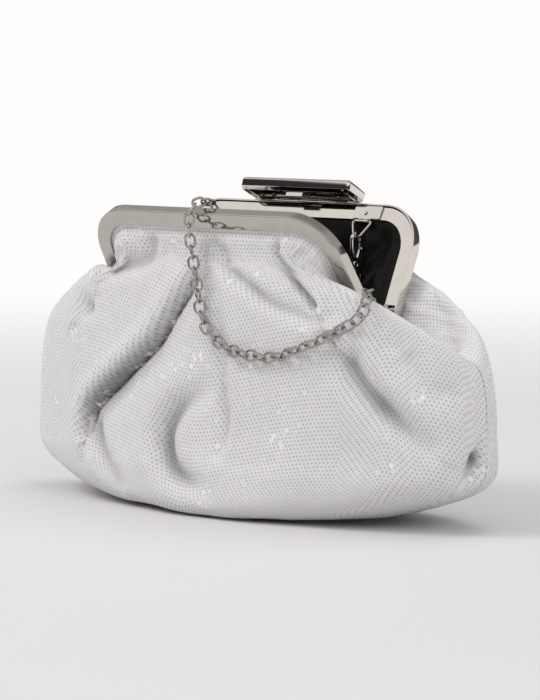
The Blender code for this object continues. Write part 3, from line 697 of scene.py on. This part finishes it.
def build_clasp_bar():
    """A hollow faceted bar, open underneath, with a rib near each end for the pin."""
    half = BAR_LENGTH / 2
    work = box((-half, BAR_FRONT, BAR_BOTTOM), (half, BAR_REAR, BAR_TOP))
    for vertex in work.verts:
        if vertex.co.y < 0:
            vertex.co.y += BAR_SLOPE if vertex.co.z < (BAR_BOTTOM + BAR_TOP) / 2 else -BAR_SLOPE
    bmesh.ops.bevel(work, geom=work.edges[:], offset=BAR_CHAMFER, segments=1, affect="EDGES")
    floor = [f for f in work.faces if f.normal.z < -0.9 or
             f.calc_center_median().z < BAR_BOTTOM + 0.01 * MM]
    bmesh.ops.delete(work, geom=floor, context="FACES")
    bmesh.ops.recalc_face_normals(work, faces=work.faces)
    mesh = bpy.data.meshes.new("clasp_bar_shell")
    work.to_mesh(mesh)
    work.free()
    obj = bpy.data.objects.new("clasp_bar_shell", mesh)
    bpy.context.scene.collection.objects.link(obj)
    for kind, settings in (("SOLIDIFY", {"thickness": BAR_WALL, "offset": -1}),
                           ("BEVEL", {"width": 0.22 * MM, "segments": 3, "limit_method": "ANGLE",
                                      "angle_limit": math.radians(25)})):
        modifier = obj.modifiers.new(kind, kind)
        for key, value in settings.items():
            setattr(modifier, key, value)
    bpy.context.view_layer.update()
    graph = bpy.context.evaluated_depsgraph_get()
    mesh = bpy.data.meshes.new_from_object(obj.evaluated_get(graph))
    bpy.data.objects.remove(obj)
    shape = Shape()
    matrix = half_matrix(REAR)
    shape.add([v.co for v in mesh.vertices], [tuple(f.vertices) for f in mesh.polygons], matrix)
    for hand in (-1, 1):
        x = hand * RIB_X
        slab(shape, (x - 0.6 * MM, BAR_FRONT + 0.9 * MM, BAR_BOTTOM + 0.6 * MM),
             (x + 0.6 * MM, BAR_REAR - 0.9 * MM, BAR_TOP - 0.9 * MM), matrix)
    shape.piece("clasp_bar_polished", BAR_NICKEL, "clasp_bar", ["clasp_bar"], sharp_angle=10)


def build_clasp_pin_and_spring():
    matrix = half_matrix(REAR) @ Matrix.Translation((0, PIN_N, PIN_V))
    pin = Shape()
    half = PIN_LENGTH / 2
    pin.tube([(x, 0, 0) for x in (-half + 0.5 * MM, 0, half - 0.5 * MM)], PIN_RADIUS, 24,
             matrix=matrix)
    pin.piece("clasp_pin_polished", FITTING_NICKEL, "rear_frame", ["clasp_pin"])
    turns, steps, radius, pitch = 5, 24, 1.35 * MM, 0.7 * MM
    coil = []
    for i in range(turns * steps + 1):
        angle = 2 * math.pi * i / steps - math.pi / 2
        coil.append(Vector((-turns * pitch / 2 + pitch * i / steps,
                            radius * math.cos(angle), radius * math.sin(angle))))
    lower = [coil[0] + Vector(leg) * MM for leg in ((-1.2, -4, -0.3), (-0.8, -1.5, -0.1))]
    upper = [coil[-1] + Vector(leg) * MM for leg in ((0.8, 0.6, 0.1), (1.2, 1.0, 1.2))]
    spring = Shape()
    spring.tube([*lower, *coil, *upper], 0.22 * MM, 10, matrix=matrix)
    spring.piece("clasp_spring_wound", SPRING_STEEL, "rear_frame", ["clasp_spring"],
                 "spring_steel")


def build_hinge_rivets():
    """Domed rivets through both pairs of ears."""
    for hand, seat in ((-1, GAP), (1, 2.05 * MM)):
        word = "left" if hand < 0 else "right"
        inner = STRAP_X - GAP
        outer = HINGE_X + seat
        dome = [(2.4 * math.cos(a) * MM, outer + (0.1 + 0.85 * math.sin(a)) * MM)
                for a in (math.radians(k) for k in (0, 18, 36, 54, 72, 86))]
        back = [(2.2 * math.cos(a) * MM, inner - (0.1 + 0.7 * math.sin(a)) * MM)
                for a in (math.radians(k) for k in (86, 65, 40, 18, 0))]
        outline = [*dome, (0.02 * MM, outer + 0.95 * MM), (0.02 * MM, inner - 0.8 * MM), *back,
                   (2.2 * MM, inner), (1.2 * MM, inner), (1.2 * MM, outer), (2.4 * MM, outer)]
        shape = Shape()
        turn = Matrix.Rotation(hand * math.pi / 2, 4, "Y")
        shape.turned(outline, Matrix.Translation((0, 0, HINGE_HEIGHT)) @ turn)
        node = "hinge_rivet_" + word
        shape.piece(node + "_domed", FITTING_NICKEL, "pouch", [node])


# ---- chain fittings

KNUCKLE = mm(44.9, -0.3, 61.6)
RING_DROP = 9 * MM
RING_LEAN = math.radians(32)
RING_WIRE = 0.6 * MM
HOOK_SEAT = 1.0 * MM
HOOK_RADIUS = 2.9 * MM
CLAW_EYE = 12.4 * MM
LEVER_PIVOT = mm(0.95, -9.0)
EYE_X = 87 * MM
EYE_LOOP = mm(89.6, 9.4, 2.6)
OUTER_CLAW_PITCH = math.radians(99)


def circle(centre, radius, axis, count=40):
    return [Vector(centre) + (AXES[axis] @ Vector((radius * c, radius * s, 0)))
            for c, s in around(count)]


def claw_point(p, q):
    """A claw's outline point, measured from the wire that its hook hangs from."""
    return Vector((0, p, q - HOOK_SEAT))


def build_claw(name, matrix):
    """A cast lobster claw: a flattened hook that thickens down its back and ends in an eye."""
    turns = [math.radians(-20 + 200 * i / 24) for i in range(25)]
    points = [claw_point(HOOK_RADIUS * math.cos(a), HOOK_RADIUS * math.sin(a)) for a in turns]
    back = [(-2.9, 0), (-2.85, -2.2), (-2.7, -4.4), (-2.2, -6.6), (-1.2, -8.8), (-0.2, -10.4),
            (0, -11.2)]
    points += spline_points([claw_point(*mm(*k)) for k in back], 5)[1:]
    shares = [i / (len(points) - 1) for i in range(len(points))]
    radii = [(0.62 + 0.42 * smooth(k / 0.4) - 0.3 * smooth((k - 0.7) / 0.3)) * MM for k in shares]
    shape = Shape()
    shape.tube(points, radii, 16, matrix=matrix)
    shape.tube(circle(claw_point(0, -CLAW_EYE), 1.5 * MM, "X"), 0.55 * MM, 12, True, matrix)
    shape.piece(name + "_cast", FITTING_NICKEL, name, [name])

    lever = Shape()
    at = matrix @ Matrix.Translation(claw_point(*LEVER_PIVOT))
    path = spline_points([mm(0, *k) for k in ((0, 0), (0.9, 2), (1.5, 4), (1.75, 6.6))], 6)
    radii = [blend(0.72, 0.45, i / (len(path) - 1)) * MM for i in range(len(path))]
    lever.tube(path, radii, 14, matrix=at)
    knob = Vector(mm(0, 2.9, 4.1))
    lever.tube([mm(0, 1.5, 4.0), knob], mm(0.5, 0.6), 14, matrix=at)
    bead = [(max(1.1 * MM * math.cos(a), 0.01 * MM), 1.1 * MM * math.sin(a))
            for a in (math.radians(k) for k in range(-90, 91, 12))]
    lever.turned([(0.005 * MM, -1.1 * MM), *bead, (0.005 * MM, 1.1 * MM)],
                 at @ Matrix.Translation(knob), 24)
    body = name + "_lever"
    lever.piece(body + "_sprung", FITTING_NICKEL, body, [body])


def build_fittings():
    x, n, v = KNUCKLE
    ring_matrix = (half_matrix(REAR) @ Matrix.Translation((x, n, v))
                   @ about_x(TILT[REAR] - RING_LEAN))
    half = [(4.9, 0), (5.5, -0.25), (5.75, -0.9), (5.5, -1.6), (2.6, -7.2), (1.9, -8.2),
            (1.0, -8.8)]
    right = [mm(x, 0, z) for x, z in half]
    left = [(-x, y, z) for x, y, z in reversed(right)]
    outline = [*right, (0, 0, -RING_DROP), *left]
    curve = spline_points(outline, 5) + [Vector(mm(x, 0, 0)) for x in (-3, 0, 3)]
    ring = Shape()
    ring.tube(curve, RING_WIRE, 14, True, ring_matrix)
    ring.piece("d_ring_wire", FITTING_NICKEL, "d_ring", ["d_ring"])
    build_claw("inner_claw", ring_matrix @ Matrix.Translation((0, 0, -RING_DROP))
               @ about_x(RING_LEAN))

    x, height, reach = EYE_LOOP
    at_hinge = Matrix.Translation((0, 0, HINGE_HEIGHT))
    eye = Shape()
    eye.tube(circle((EYE_X, 0, 0), 1.95 * MM, "X"), RING_WIRE, 14, True, at_hinge)
    eye.tube(circle((x, 0, height), reach, "Y"), RING_WIRE, 14, True, at_hinge)
    stem = spline_points([(EYE_X, 0, 1.9 * MM), (EYE_X, 0, 4 * MM),
                          (x - 0.75 * reach, 0, height - 0.75 * reach)], 8)
    eye.tube(stem, 1.05 * RING_WIRE, 14, matrix=at_hinge)
    eye.piece("hinge_eye_swivel", FITTING_NICKEL, "hinge_eye", ["hinge_eye"])
    build_claw("outer_claw", Matrix.Translation((x, 0, HINGE_HEIGHT + height + reach))
               @ Matrix.Rotation(math.pi, 4, "Z") @ about_x(OUTER_CLAW_PITCH))


# ---- chain

# The chain's route in millimetres: as its solids lie in the CAD model, lifted over the folds
CHAIN_ROUTE = (
    (89.6, -16.4, 104.6), (90.6, -18.3, 107.8), (92.4, -21.3, 111.6), (95.4, -25.2, 113.6),
    (98.6, -28.8, 112.9), (101.2, -32.4, 110.1), (102, -35, 105.5), (99.6, -36.6, 101),
    (94, -38.5, 97.6), (86.7, -40.3, 93.8), (76.2, -42.4, 88.8), (65, -43.6, 84.8),
    (56.2, -43.5, 81.7), (47.4, -44.5, 80.3), (36.1, -45.4, 81.1), (25, -45.7, 82.8),
    (16.2, -45.6, 86.7), (9.2, -45.4, 91.7), (4.6, -44.9, 100.2), (1.8, -44.2, 110.8),
    (-2, -43, 123.5), (-5, -42.4, 134), (-5, -43.5, 142.8), (-4, -44.5, 146.6),
    (-3, -43.5, 150.4), (-2, -40.7, 153.2), (-1, -36.9, 154.2), (0, -33.1, 153.2),
    (0.7, -30.3, 150.4), (1, -27.7, 143.9), (1.3, -25.8, 134), (2, -23.5, 118), (4, -18.5, 98),
    (8, -11, 74), (13, -4, 57), (20, 2, 46), (28, 6.5, 42.5), (35, 10.5, 46.5),
    (40.5, 15, 61), (43.6, 19.3, 86), (44.9, 22.8, 106), (44.9, 23.7, 118),
)


def link_path(length, width, wire):
    """An oval link's centreline in its own XZ plane, long along Z."""
    radius = (width - wire) / 2
    straight = (length - width) / 2
    return [(radius * c, 0, radius * s + math.copysign(straight, s)) for c, s in around(28, 0.5)]


# Every other link lies flat against the bag and the rest stand across it
FLAT_TURN, CROSS_TURN = math.radians(14), math.radians(-66)


def chain_normals(points):
    """Outward normals carried along the chain, facing forwards where it crosses the front."""
    tangents = path_tangents(points, False)
    normals = carried_normals(tangents, False)
    front = min(range(len(points)), key=lambda i: points[i].y)
    ahead = Vector((0.55, -0.83, 0))
    ahead = (ahead - tangents[front] * ahead.dot(tangents[front])).normalized()
    slip = math.atan2(normals[front].cross(ahead).dot(tangents[front]),
                      normals[front].dot(ahead))
    return tangents, [Matrix.Rotation(slip, 3, t) @ n for t, n in zip(tangents, normals)]


def add_link(shape, point, tangent, outward, turn, size):
    outward = Matrix.Rotation(turn, 3, tangent) @ outward
    at = Matrix((outward.cross(tangent), outward, tangent)).transposed().to_4x4()
    at.translation = point
    shape.tube(link_path(*size), size[2] / 2, 10, True, at)


def build_chain():
    route = [Vector(p) * MM for p in CHAIN_ROUTE]
    points = even_points(route, spacing=CHAIN_STEP)
    low = min(range(len(points)), key=lambda i: points[i].z)
    middle = (points[low] + points[low + 1]) / 2
    runs = {"chain_outer": [*points[:low + 1], middle], "chain_inner": [middle, *points[low + 1:]]}
    long = {name: sum((b - a).length for a, b in zip(run, run[1:])) for name, run in runs.items()}
    count = round(sum(long.values()) / LINK_PITCH)
    stations = even_points(route, count)
    centres = [(a + b) / 2 for a, b in zip(stations, stations[1:])]
    tangents, normals = chain_normals(centres)
    outer_count = round(count * long["chain_outer"] / sum(long.values()))
    shapes = {"chain_end_ring": Shape(), "chain_outer": Shape(), "chain_inner": Shape()}
    for i, at in enumerate(zip(centres, tangents, normals)):
        turn = (FLAT_TURN if i % 2 == 0 else CROSS_TURN) + 0.2 * math.sin(2.7 * i + 0.8)
        name = "chain_end_ring" if i == 0 else "chain_outer" if i < outer_count else "chain_inner"
        add_link(shapes[name], *at, turn, END_RING if i == 0 else LINK)
    ring = shapes["chain_end_ring"].piece("chain_end_ring", CHAIN_NICKEL, "pouch", (), "chain", 60)
    outer, inner = (shapes[name].piece(name + "_links", CHAIN_NICKEL, None, [name], "chain", 60)
                    for name in runs)
    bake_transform(outer)
    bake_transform(inner)


# ---- pouch

# How a column of the outer layers leaves the frame: each row has its inset and its n in
# millimetres, at the top bar, down the arms and past the hinge, its sag, and its slopes
CHANNEL_ROWS = (
    ((4.5, 4.5, 13.0), (4.2, 4.2, 4.2), 0.0, (0, 0, 150)),
    ((9.6, 9.6, 12.6), (4.2, 4.2, 4.4), 0.0, (0, 30, 150)),
    ((11.6, 11.6, 12.0), (4.6, 5.8, 6.0), 0.03, (25, 90, 150)),
    ((14.0, 9.5, 10.0), (7.0, 8.2, 8.2), 0.12, (40, 160, 170)),
    ((22.0, -3.0, -3.0), (10.5, 9.0, 9.0), 0.4, (25, 185, 180)),
)
# The same for the lining, which leaves the frame closer to its middle
LINING_ROWS = (
    ((4.5, 4.5, 16.0), (2.6, 2.6, 4.0)),
    ((9.6, 9.6, 17.0), (2.6, 2.6, 4.0)),
    ((13.5, 13.5, 18.0), (3.6, 3.0, 4.5)),
    ((20.0, 16.0, 18.5), (6.9, 3.4, 5.0)),
)


def frame_point(side, turn, depth, insets, outs, sag=0.0, slopes=(0, 0, 0)):
    """A point of a column where it leaves one frame half, a depth below its outer face."""
    run = HALF_RUN * turn
    down = max(abs(run) - TOP_RUN / 2 - CORNER_RUN, 0.0) / ARM
    travel = down * (ARM + SWING * (math.pi / 2 - TILT[side]))
    over = max(travel - ARM, 0.0) / SWING
    arm = smooth((abs(run) - TOP_RUN / 2 - 0.3 * CORNER_RUN) / CORNER_RUN)
    loose = smooth((abs(turn) - 0.84) / 0.08)
    inset, out, slope = (blend(blend(k[0], k[1], arm), k[2], loose) for k in (insets, outs, slopes))
    slope = math.radians(slope)
    x, v = outline_point(run, inset * MM + depth * math.sin(slope))
    out = out * MM - depth * math.cos(slope)
    if down > 0:
        v = ARM - min(travel, ARM)
    v -= sag * v * arm + out * math.sin(over)
    return place(side, x, v, out * math.cos(over))


def ring_point(side, half_width, half_depth, height, turn):
    """A point on a rounded ring of the pouch; turn runs -1 (left seam) to 1 (right seam)."""
    angle = turn * math.pi / 2
    x = math.copysign(abs(math.sin(angle)) ** (2 / RING_POWER), turn)
    y = abs(math.cos(angle)) ** (2 / RING_POWER)
    return Vector((half_width * x, side * max(half_depth * y, RIM), height))


def close_column(side, turn, controls):
    """End a column on the bottom seam, and keep the outermost columns on the side seam."""
    seam = controls[-1].copy()
    seam.x *= 0.9
    seam.y = side * RIM
    controls.append(seam)
    if abs(turn) == 1:
        for point in controls:
            point.y = side * RIM
    return controls


def fabric_controls(side, turn, depth=0.0):
    """The points that one column of the outer layers passes through, a depth below the skin."""
    controls = [frame_point(side, turn, depth, *row) for row in CHANNEL_ROWS]
    rise = SHOULDER_RISE - (SHOULDER_RISE + SHOULDER_DIP) * abs(turn) ** SHOULDER_FALL
    height = HINGE_HEIGHT + rise - depth * blend(0.2, 1.0, turn ** 2)
    controls.append(ring_point(side, SHOULDER[0] - 0.6 * depth, SHOULDER[1] - depth, height, turn))
    for (width, reach, height), lift in POUCH_RINGS:
        shrink = depth * (1 - 0.5 * lift)
        controls.append(ring_point(side, width - shrink, reach - shrink,
                                   height + lift * depth, turn))
    return close_column(side, turn, controls)


def lining_controls(side, turn):
    """The points that one column of the lining passes through."""
    controls = [frame_point(side, turn, 0.0, *row) for row in LINING_ROWS]
    for width, reach, height, dip in LINING_RINGS:
        controls.append(ring_point(side, width, reach, height - dip * turn ** 2, turn))
    return close_column(side, turn, controls)


class Cloth:
    """A grid of points from the frame (row 0) to the bottom seam, for one side of the pouch.

    It keeps each point's distance down its column and across its row, as it hung at first.
    """

    def __init__(self, side, controls, floor, grid):
        self.side = side
        columns, rows = grid
        turns, made = [], []
        for c in range(columns):
            k = 2 * c / (columns - 1) - 1
            turns.append(math.copysign(1 - (1 - abs(k)) ** 1.5, k))
            column = even_points(controls(turns[-1]), rows - 1)
            made.append([(p.x, p.y, max(p.z, floor)) for p in column])
        self.points = np.array(made, float).transpose(1, 0, 2)
        self.turns = np.array(turns)
        steps = np.linalg.norm(np.diff(self.points, axis=0), axis=2)
        self.down = np.vstack([np.zeros(columns), np.cumsum(steps, axis=0)])
        steps = np.linalg.norm(np.diff(self.points, axis=1), axis=2)
        across = np.hstack([np.zeros((rows, 1)), np.cumsum(steps, axis=1)])
        self.across = across - across[:, [columns // 2]]

    def normals(self):
        along = np.gradient(self.points, axis=1)
        down = np.gradient(self.points, axis=0)
        normal = np.cross(down, along)
        normal /= np.maximum(np.linalg.norm(normal, axis=2, keepdims=True), 1e-12)
        middle = normal[normal.shape[0] // 2, normal.shape[1] // 2]
        return normal if middle[1] * self.side > 0 else -normal

    def push(self, amount, slide):
        self.points = self.points + self.normals() * amount[..., None] + slide
        self.points[..., 2] = np.maximum(self.points[..., 2], 0.0)

    def keep_side(self, gap=RIM):
        self.points = kept(self.points, self.side, gap)

    def inner_face(self, thickness, gap):
        """The layer's other face, moved in along its normals."""
        return kept(self.points - self.normals() * thickness, self.side, gap)


def kept(points, side, gap):
    """The points, none nearer than gap to the middle plane."""
    points = points.copy()
    points[..., 1] = side * np.maximum(side * points[..., 1], gap)
    return points


def skin_object(name, outer, inner):
    """One closed layer between an outer and an inner grid of points."""
    rows, width = outer.shape[:2]
    size = rows * width
    index = np.arange(size).reshape(rows, width)
    a, b = index[:-1, :-1].ravel(), index[:-1, 1:].ravel()
    c, d = index[1:, 1:].ravel(), index[1:, :-1].ravel()
    faces = np.concatenate([np.stack([a, b, c, d], 1), np.stack([d, c, b, a], 1) + size])
    edge = np.concatenate([index[:, 0], index[-1, 1:], index[-2::-1, -1], index[0, -2:0:-1]])
    after = np.roll(edge, -1)
    faces = np.concatenate([faces, np.stack([edge, edge + size, after + size, after], 1)])
    points = np.concatenate([outer.reshape(-1, 3), inner.reshape(-1, 3)])
    return mesh_object(name, points, faces.tolist(), 80)


class Fold:
    """A valley along a path, with a roll of cloth on either side of it.

    Depths follow the path from its start; a roll is its height, its distance from the valley
    and its width. Left and right are as seen from the front, with the path running downwards.
    The path is in (x, z), and everything is given in millimetres.
    """

    def __init__(self, path, depths, width, left=(0, 1, 1), right=(0, 1, 1), slide=0.0):
        self.path = np.array([tuple(p) for p in spline_points(
            [Vector((x, 0, z)) * MM for x, z in path], 5)])
        self.depths = np.array(depths, float) * MM
        self.width = width * MM
        self.left, self.right = mm(*left), mm(*right)
        self.slide = slide * MM

    def nearest(self, points):
        """Signed distance from the path, laid on the cloth, and the share of it travelled."""
        shape = points.shape[:-1]
        flat = points.reshape(-1, 3)
        best = np.full(len(flat), 1e9)
        share = np.zeros(len(flat))
        sign = np.ones(len(flat))
        ends = self.path.copy()
        for point in ends:
            seen = (flat[:, 0] - point[0]) ** 2 + (flat[:, 2] - point[2]) ** 2
            point[1] = flat[np.argmin(seen), 1]
        lengths = np.linalg.norm(np.diff(ends, axis=0), axis=1)
        travelled = np.concatenate([[0], np.cumsum(lengths)])
        for i, length in enumerate(lengths):
            a, line = ends[i], ends[i + 1] - ends[i]
            t = np.clip((flat - a) @ line / length ** 2, 0, 1)
            away = flat - (a + t[:, None] * line)
            distance = np.linalg.norm(away, axis=1)
            turn = line[0] * away[:, 2] - line[2] * away[:, 0]
            closer = distance < best
            best = np.where(closer, distance, best)
            share = np.where(closer, (travelled[i] + t * length) / travelled[-1], share)
            sign = np.where(closer, np.where(turn < 0, -1.0, 1.0), sign)
        return (best * sign).reshape(shape), share.reshape(shape)

    def push(self, points):
        """How far each point moves along its normal, and how it leans over the valley."""
        distance, share = self.nearest(points)
        depth = np.interp(share, np.linspace(0, 1, len(self.depths)), self.depths)
        strength = depth / self.depths.max()
        made = -depth * np.exp(-(distance / self.width) ** 2)
        for side, (height, offset, width) in ((1, self.right), (-1, self.left)):
            made += strength * height * np.exp(-((side * distance - offset) / width) ** 2)
        lean = strength * self.slide * np.exp(-((distance + self.width) / self.width) ** 2)
        return made, lean[..., None] * LEAN


# A roll leans right and down over its valley
LEAN = np.array((0.75, 0.0, -0.55))

FOLDS = {
    FRONT: (
        Fold(((2, 136), (-4, 128), (-6, 117), (-19, 101), (-29, 88), (-38, 80), (-61, 64),
              (-78, 51), (-83, 40), (-83, 35)), (1.5, 4, 6.5, 8.5, 10, 11, 13, 12, 6), 3.4,
             left=(4.5, 6.5, 5), right=(-4, 7.5, 7), slide=8),
        Fold(((-40, 137), (-43, 125), (-55, 121), (-70, 117), (-79, 105), (-93, 92)),
             (3, 4, 5, 5, 4, 2), 5, left=(2.5, 12, 8), right=(1, 9, 7), slide=2),
        Fold(((46, 137), (46, 128), (59, 116), (70, 106), (80, 93), (87, 86)),
             (3, 6, 7, 7, 6, 2), 2.2, left=(-1.8, 6, 5), right=(2.6, 5, 4)),
        Fold(((87, 86), (100, 69), (117, 54), (131, 42)), (1.5, 6, 7, 3), 6,
             left=(1, 15, 8), right=(3.5, 13, 9)),
        Fold(((5, 132), (12, 125), (29, 115), (45, 106), (67, 99)), (2, 4.5, 5, 3.5, 1.5), 3.4,
             left=(0.8, 8, 6), right=(1, 8, 6)),
        Fold(((5, 120), (14, 93), (19, 61), (21, 43), (18, 32)), (1.5, 2.4, 3.2, 4, 2), 3.2,
             left=(0.3, 7, 5), right=(1.6, 6, 5)),
        Fold(((6, 62), (-12, 52), (-20, 37), (-12, 23), (13, 13)), (2, 5.5, 7.5, 6, 2), 6,
             left=(2, 12, 8), right=(1, 12, 8)),
        Fold(((-75, 37), (-65, 25), (-51, 13)), (3.5, 4.5, 2.5), 5, left=(1.2, 9, 6)),
        Fold(((149, 43), (147.5, 36), (146, 29)), (4, 8, 4), 4.5),
        Fold(((140, 67), (128, 70), (115, 89)), (2, 3, 2), 7),
    ),
    REAR: (
        Fold(((-3, 136), (-12, 112), (-25, 84), (-34, 55)), (5, 7, 6, 3), 4.5,
             left=(2.5, 9, 7), right=(1.5, 9, 7)),
        Fold(((52, 136), (60, 112), (76, 86), (95, 55)), (4, 6, 5, 2), 5,
             left=(1.5, 9, 7), right=(2.2, 10, 7)),
        Fold(((-55, 136), (-66, 110), (-88, 80), (-108, 52)), (4, 5.5, 4.5, 2), 5,
             left=(2, 9, 7), right=(1.5, 9, 7)),
        Fold(((24, 134), (27, 106), (36, 78)), (3, 4, 2), 4, right=(1, 8, 6)),
        Fold(((-30, 134), (-38, 110), (-46, 88)), (3, 3.5, 1.5), 4, left=(1, 8, 6)),
        Fold(((105, 102), (122, 86), (136, 64)), (2.5, 3.5, 2), 6, right=(1, 11, 7)),
        Fold(((-105, 102), (-122, 86), (-136, 64)), (2.5, 3.5, 2), 6, left=(1, 11, 7)),
        Fold(((10, 50), (-14, 38), (-20, 24)), (2, 4, 2), 8),
    ),
}


# Pleats at the frame: wavelength and phase along the rim, and share
GATHERS = ((13.0, 0.4, 0.6), (8.3, 2.1, 0.45), (21.0, 1.2, 0.5))
GATHER_HEIGHT = 0.6 * MM
GATHER_REACH = 40 * MM
RUMPLE_HEIGHT = 0.5 * MM


def gather(cloth):
    """Small irregular pleats that spring from the frame and die out below it."""
    run = cloth.turns[None, :] * HALF_RUN / MM
    fade = np.exp(-np.maximum(cloth.down - 8 * MM, 0) / GATHER_REACH)
    made = sum(share * np.sin(2 * math.pi * run / length + phase + 0.8 * np.sin(run / 23 + phase))
               for length, phase, share in GATHERS)
    return GATHER_HEIGHT * made * fade


def rumple(cloth):
    """Slow swells in the cloth."""
    across, down = cloth.across / MM, cloth.down / MM
    swell = (np.sin(across / 17 + 0.6 * np.sin(down / 21)) * np.sin(down / 24 + 1.1)
             + 0.6 * np.sin(across / 9.5 + down / 31 + 2.0) * np.sin(down / 15)
             + 0.5 * np.sin(across / 29 - down / 13))
    return RUMPLE_HEIGHT * swell


def still(cloth, frame_fade, seam_fade):
    """How freely each point may move: 0 at the frame and the seams, 1 in the open."""
    total = cloth.down[-1:, :]
    free = soft_step(cloth.down, *frame_fade) * soft_step(total - cloth.down, 0, 30 * MM)
    return free * soft_step(1 - np.abs(cloth.turns), 0.0, seam_fade)[None, :]


def crease(cloth):
    """Lay every fold of one side on its outer layer; returns what each point was moved by."""
    free = still(cloth, (5 * MM, 13 * MM), 0.05)
    run = np.abs(cloth.turns)[None, :] * HALF_RUN
    on_arm = soft_step(run, TOP_RUN / 2 + 0.3 * CORNER_RUN, TOP_RUN / 2 + CORNER_RUN)
    free = free * (1 - 0.9 * on_arm * soft_step(cloth.down, 34 * MM, 16 * MM))
    amount = gather(cloth) + rumple(cloth)
    slide = np.zeros_like(cloth.points)
    for fold in FOLDS[cloth.side]:
        pushed, slid = fold.push(cloth.points)
        amount = amount + pushed
        slide = slide + slid
    deepest = -0.6 * MM - 0.45 * np.maximum(cloth.down - 6 * MM, 0)
    amount = np.maximum(amount * free, deepest)
    slide = slide * free[..., None]
    before = cloth.points.reshape(-1, 3)
    cloth.push(amount, slide)
    cloth.keep_side()
    return before, amount.ravel(), slide.reshape(-1, 3)


def follow(cloth, moved):
    """What the nearest points of the outer layer were moved by, for an inner layer."""
    before, amount, slide = moved
    tree = KDTree(len(before))
    for i, point in enumerate(before):
        tree.insert(point, i)
    tree.balance()
    nearest = np.array([tree.find(point)[1] for point in cloth.points.reshape(-1, 3)])
    return amount[nearest].reshape(cloth.down.shape), slide[nearest].reshape(cloth.points.shape)


# Columns and rows of each layer's grid; the wadding starts below the frame
PANEL_GRID = (241, 171)
WADDING_GRID = (121, 91)
WADDING_FIRST_ROW = 24
LINING_GRID = (161, 101)


def build_panel(word, side):
    """The sequin fabric, with its pattern's coordinates and the painted shade for the bottoms of
    its folds and under its leaning rolls.
    """
    cloth = Cloth(side, lambda turn: fabric_controls(side, turn), 0.0, PANEL_GRID)
    cut = np.stack([cloth.across, cloth.down, np.zeros_like(cloth.down)], axis=2)
    moved = crease(cloth)
    inner = cloth.inner_face(0.75 * FABRIC, 0.5 * RIM)
    inner[..., 2] = np.maximum(inner[..., 2], GAP)
    leaning = np.linalg.norm(moved[2], axis=1)
    # Painted shade, from 0 to 1: deepest in the folds and where a roll leans over them.
    painted_valley_shade = np.maximum(soft_step(-moved[1], 1.2 * MM, 9 * MM),
                        0.85 * soft_step(leaning, 2.5 * MM, 7 * MM))
    panel = skin_object(word + "_panel_sequins", cloth.points, inner)
    for name, kind, key, values in (("cut", "FLOAT_VECTOR", "vector", cut.reshape(-1, 3)),
                                    ("painted_valley_shade", "FLOAT", "value", painted_valley_shade)):
        attribute = panel.data.attributes.new(name, kind, "POINT")
        attribute.data.foreach_set(key, np.concatenate([values, values]).ravel())
    return finish_piece(panel, SEQUINS, None, [word + "_panel"]), moved


def build_wadding(word, side, moved):
    depth = FABRIC + LAYER_GAP
    cloth = Cloth(side, lambda turn: fabric_controls(side, turn, depth), depth, WADDING_GRID)
    cloth.push(*follow(cloth, moved))
    cloth.keep_side()
    inner = cloth.points - cloth.normals() * WADDING
    wadding = skin_object(word + "_wadding_felt", cloth.points[WADDING_FIRST_ROW:],
                          inner[WADDING_FIRST_ROW:])
    return finish_piece(wadding, FELT, None, [word + "_wadding"])


def build_lining(word, side, moved):
    """The lining only gives way inwards, and has long soft pleats of its own."""
    cloth = Cloth(side, lambda turn: lining_controls(side, turn), LINING_RINGS[-1][2],
                  LINING_GRID)
    amount, slide = follow(cloth, moved)
    run = cloth.turns[None, :] * HALF_RUN / MM
    pleats = 1.1 * MM * (np.sin(run / 4.1 + 0.5 * np.sin(run / 11)) - 1.2)
    cloth.push(np.minimum(amount, 0) + pleats * still(cloth, (8 * MM, 30 * MM), 0.08),
               0.5 * slide)
    cloth.keep_side(GAP)
    lining = skin_object(word + "_lining_satin", cloth.points, cloth.inner_face(LINING, RIM))
    return finish_piece(lining, SATIN, None, [word + "_lining"])


def build_side(side):
    word = SIDE_WORD[side]
    panel, moved = build_panel(word, side)
    wadding = build_wadding(word, side, moved)
    lining = build_lining(word, side, moved)
    for obj in (panel, wadding, lining):
        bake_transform(obj)


build_chain()
build_frame_half(FRONT)
build_frame_half(REAR)
build_clasp_bar()
build_clasp_pin_and_spring()
build_hinge_rivets()
build_fittings()
build_side(FRONT)
build_side(REAR)

# The small fixed parts keep their CAD shapes
for node in ("clasp_catch", "clasp_bracket_left", "clasp_bracket_right", "chain_tab",
             "tab_rivet"):
    for material_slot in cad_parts[node].material_slots:
        material_slot.material = FITTING_NICKEL
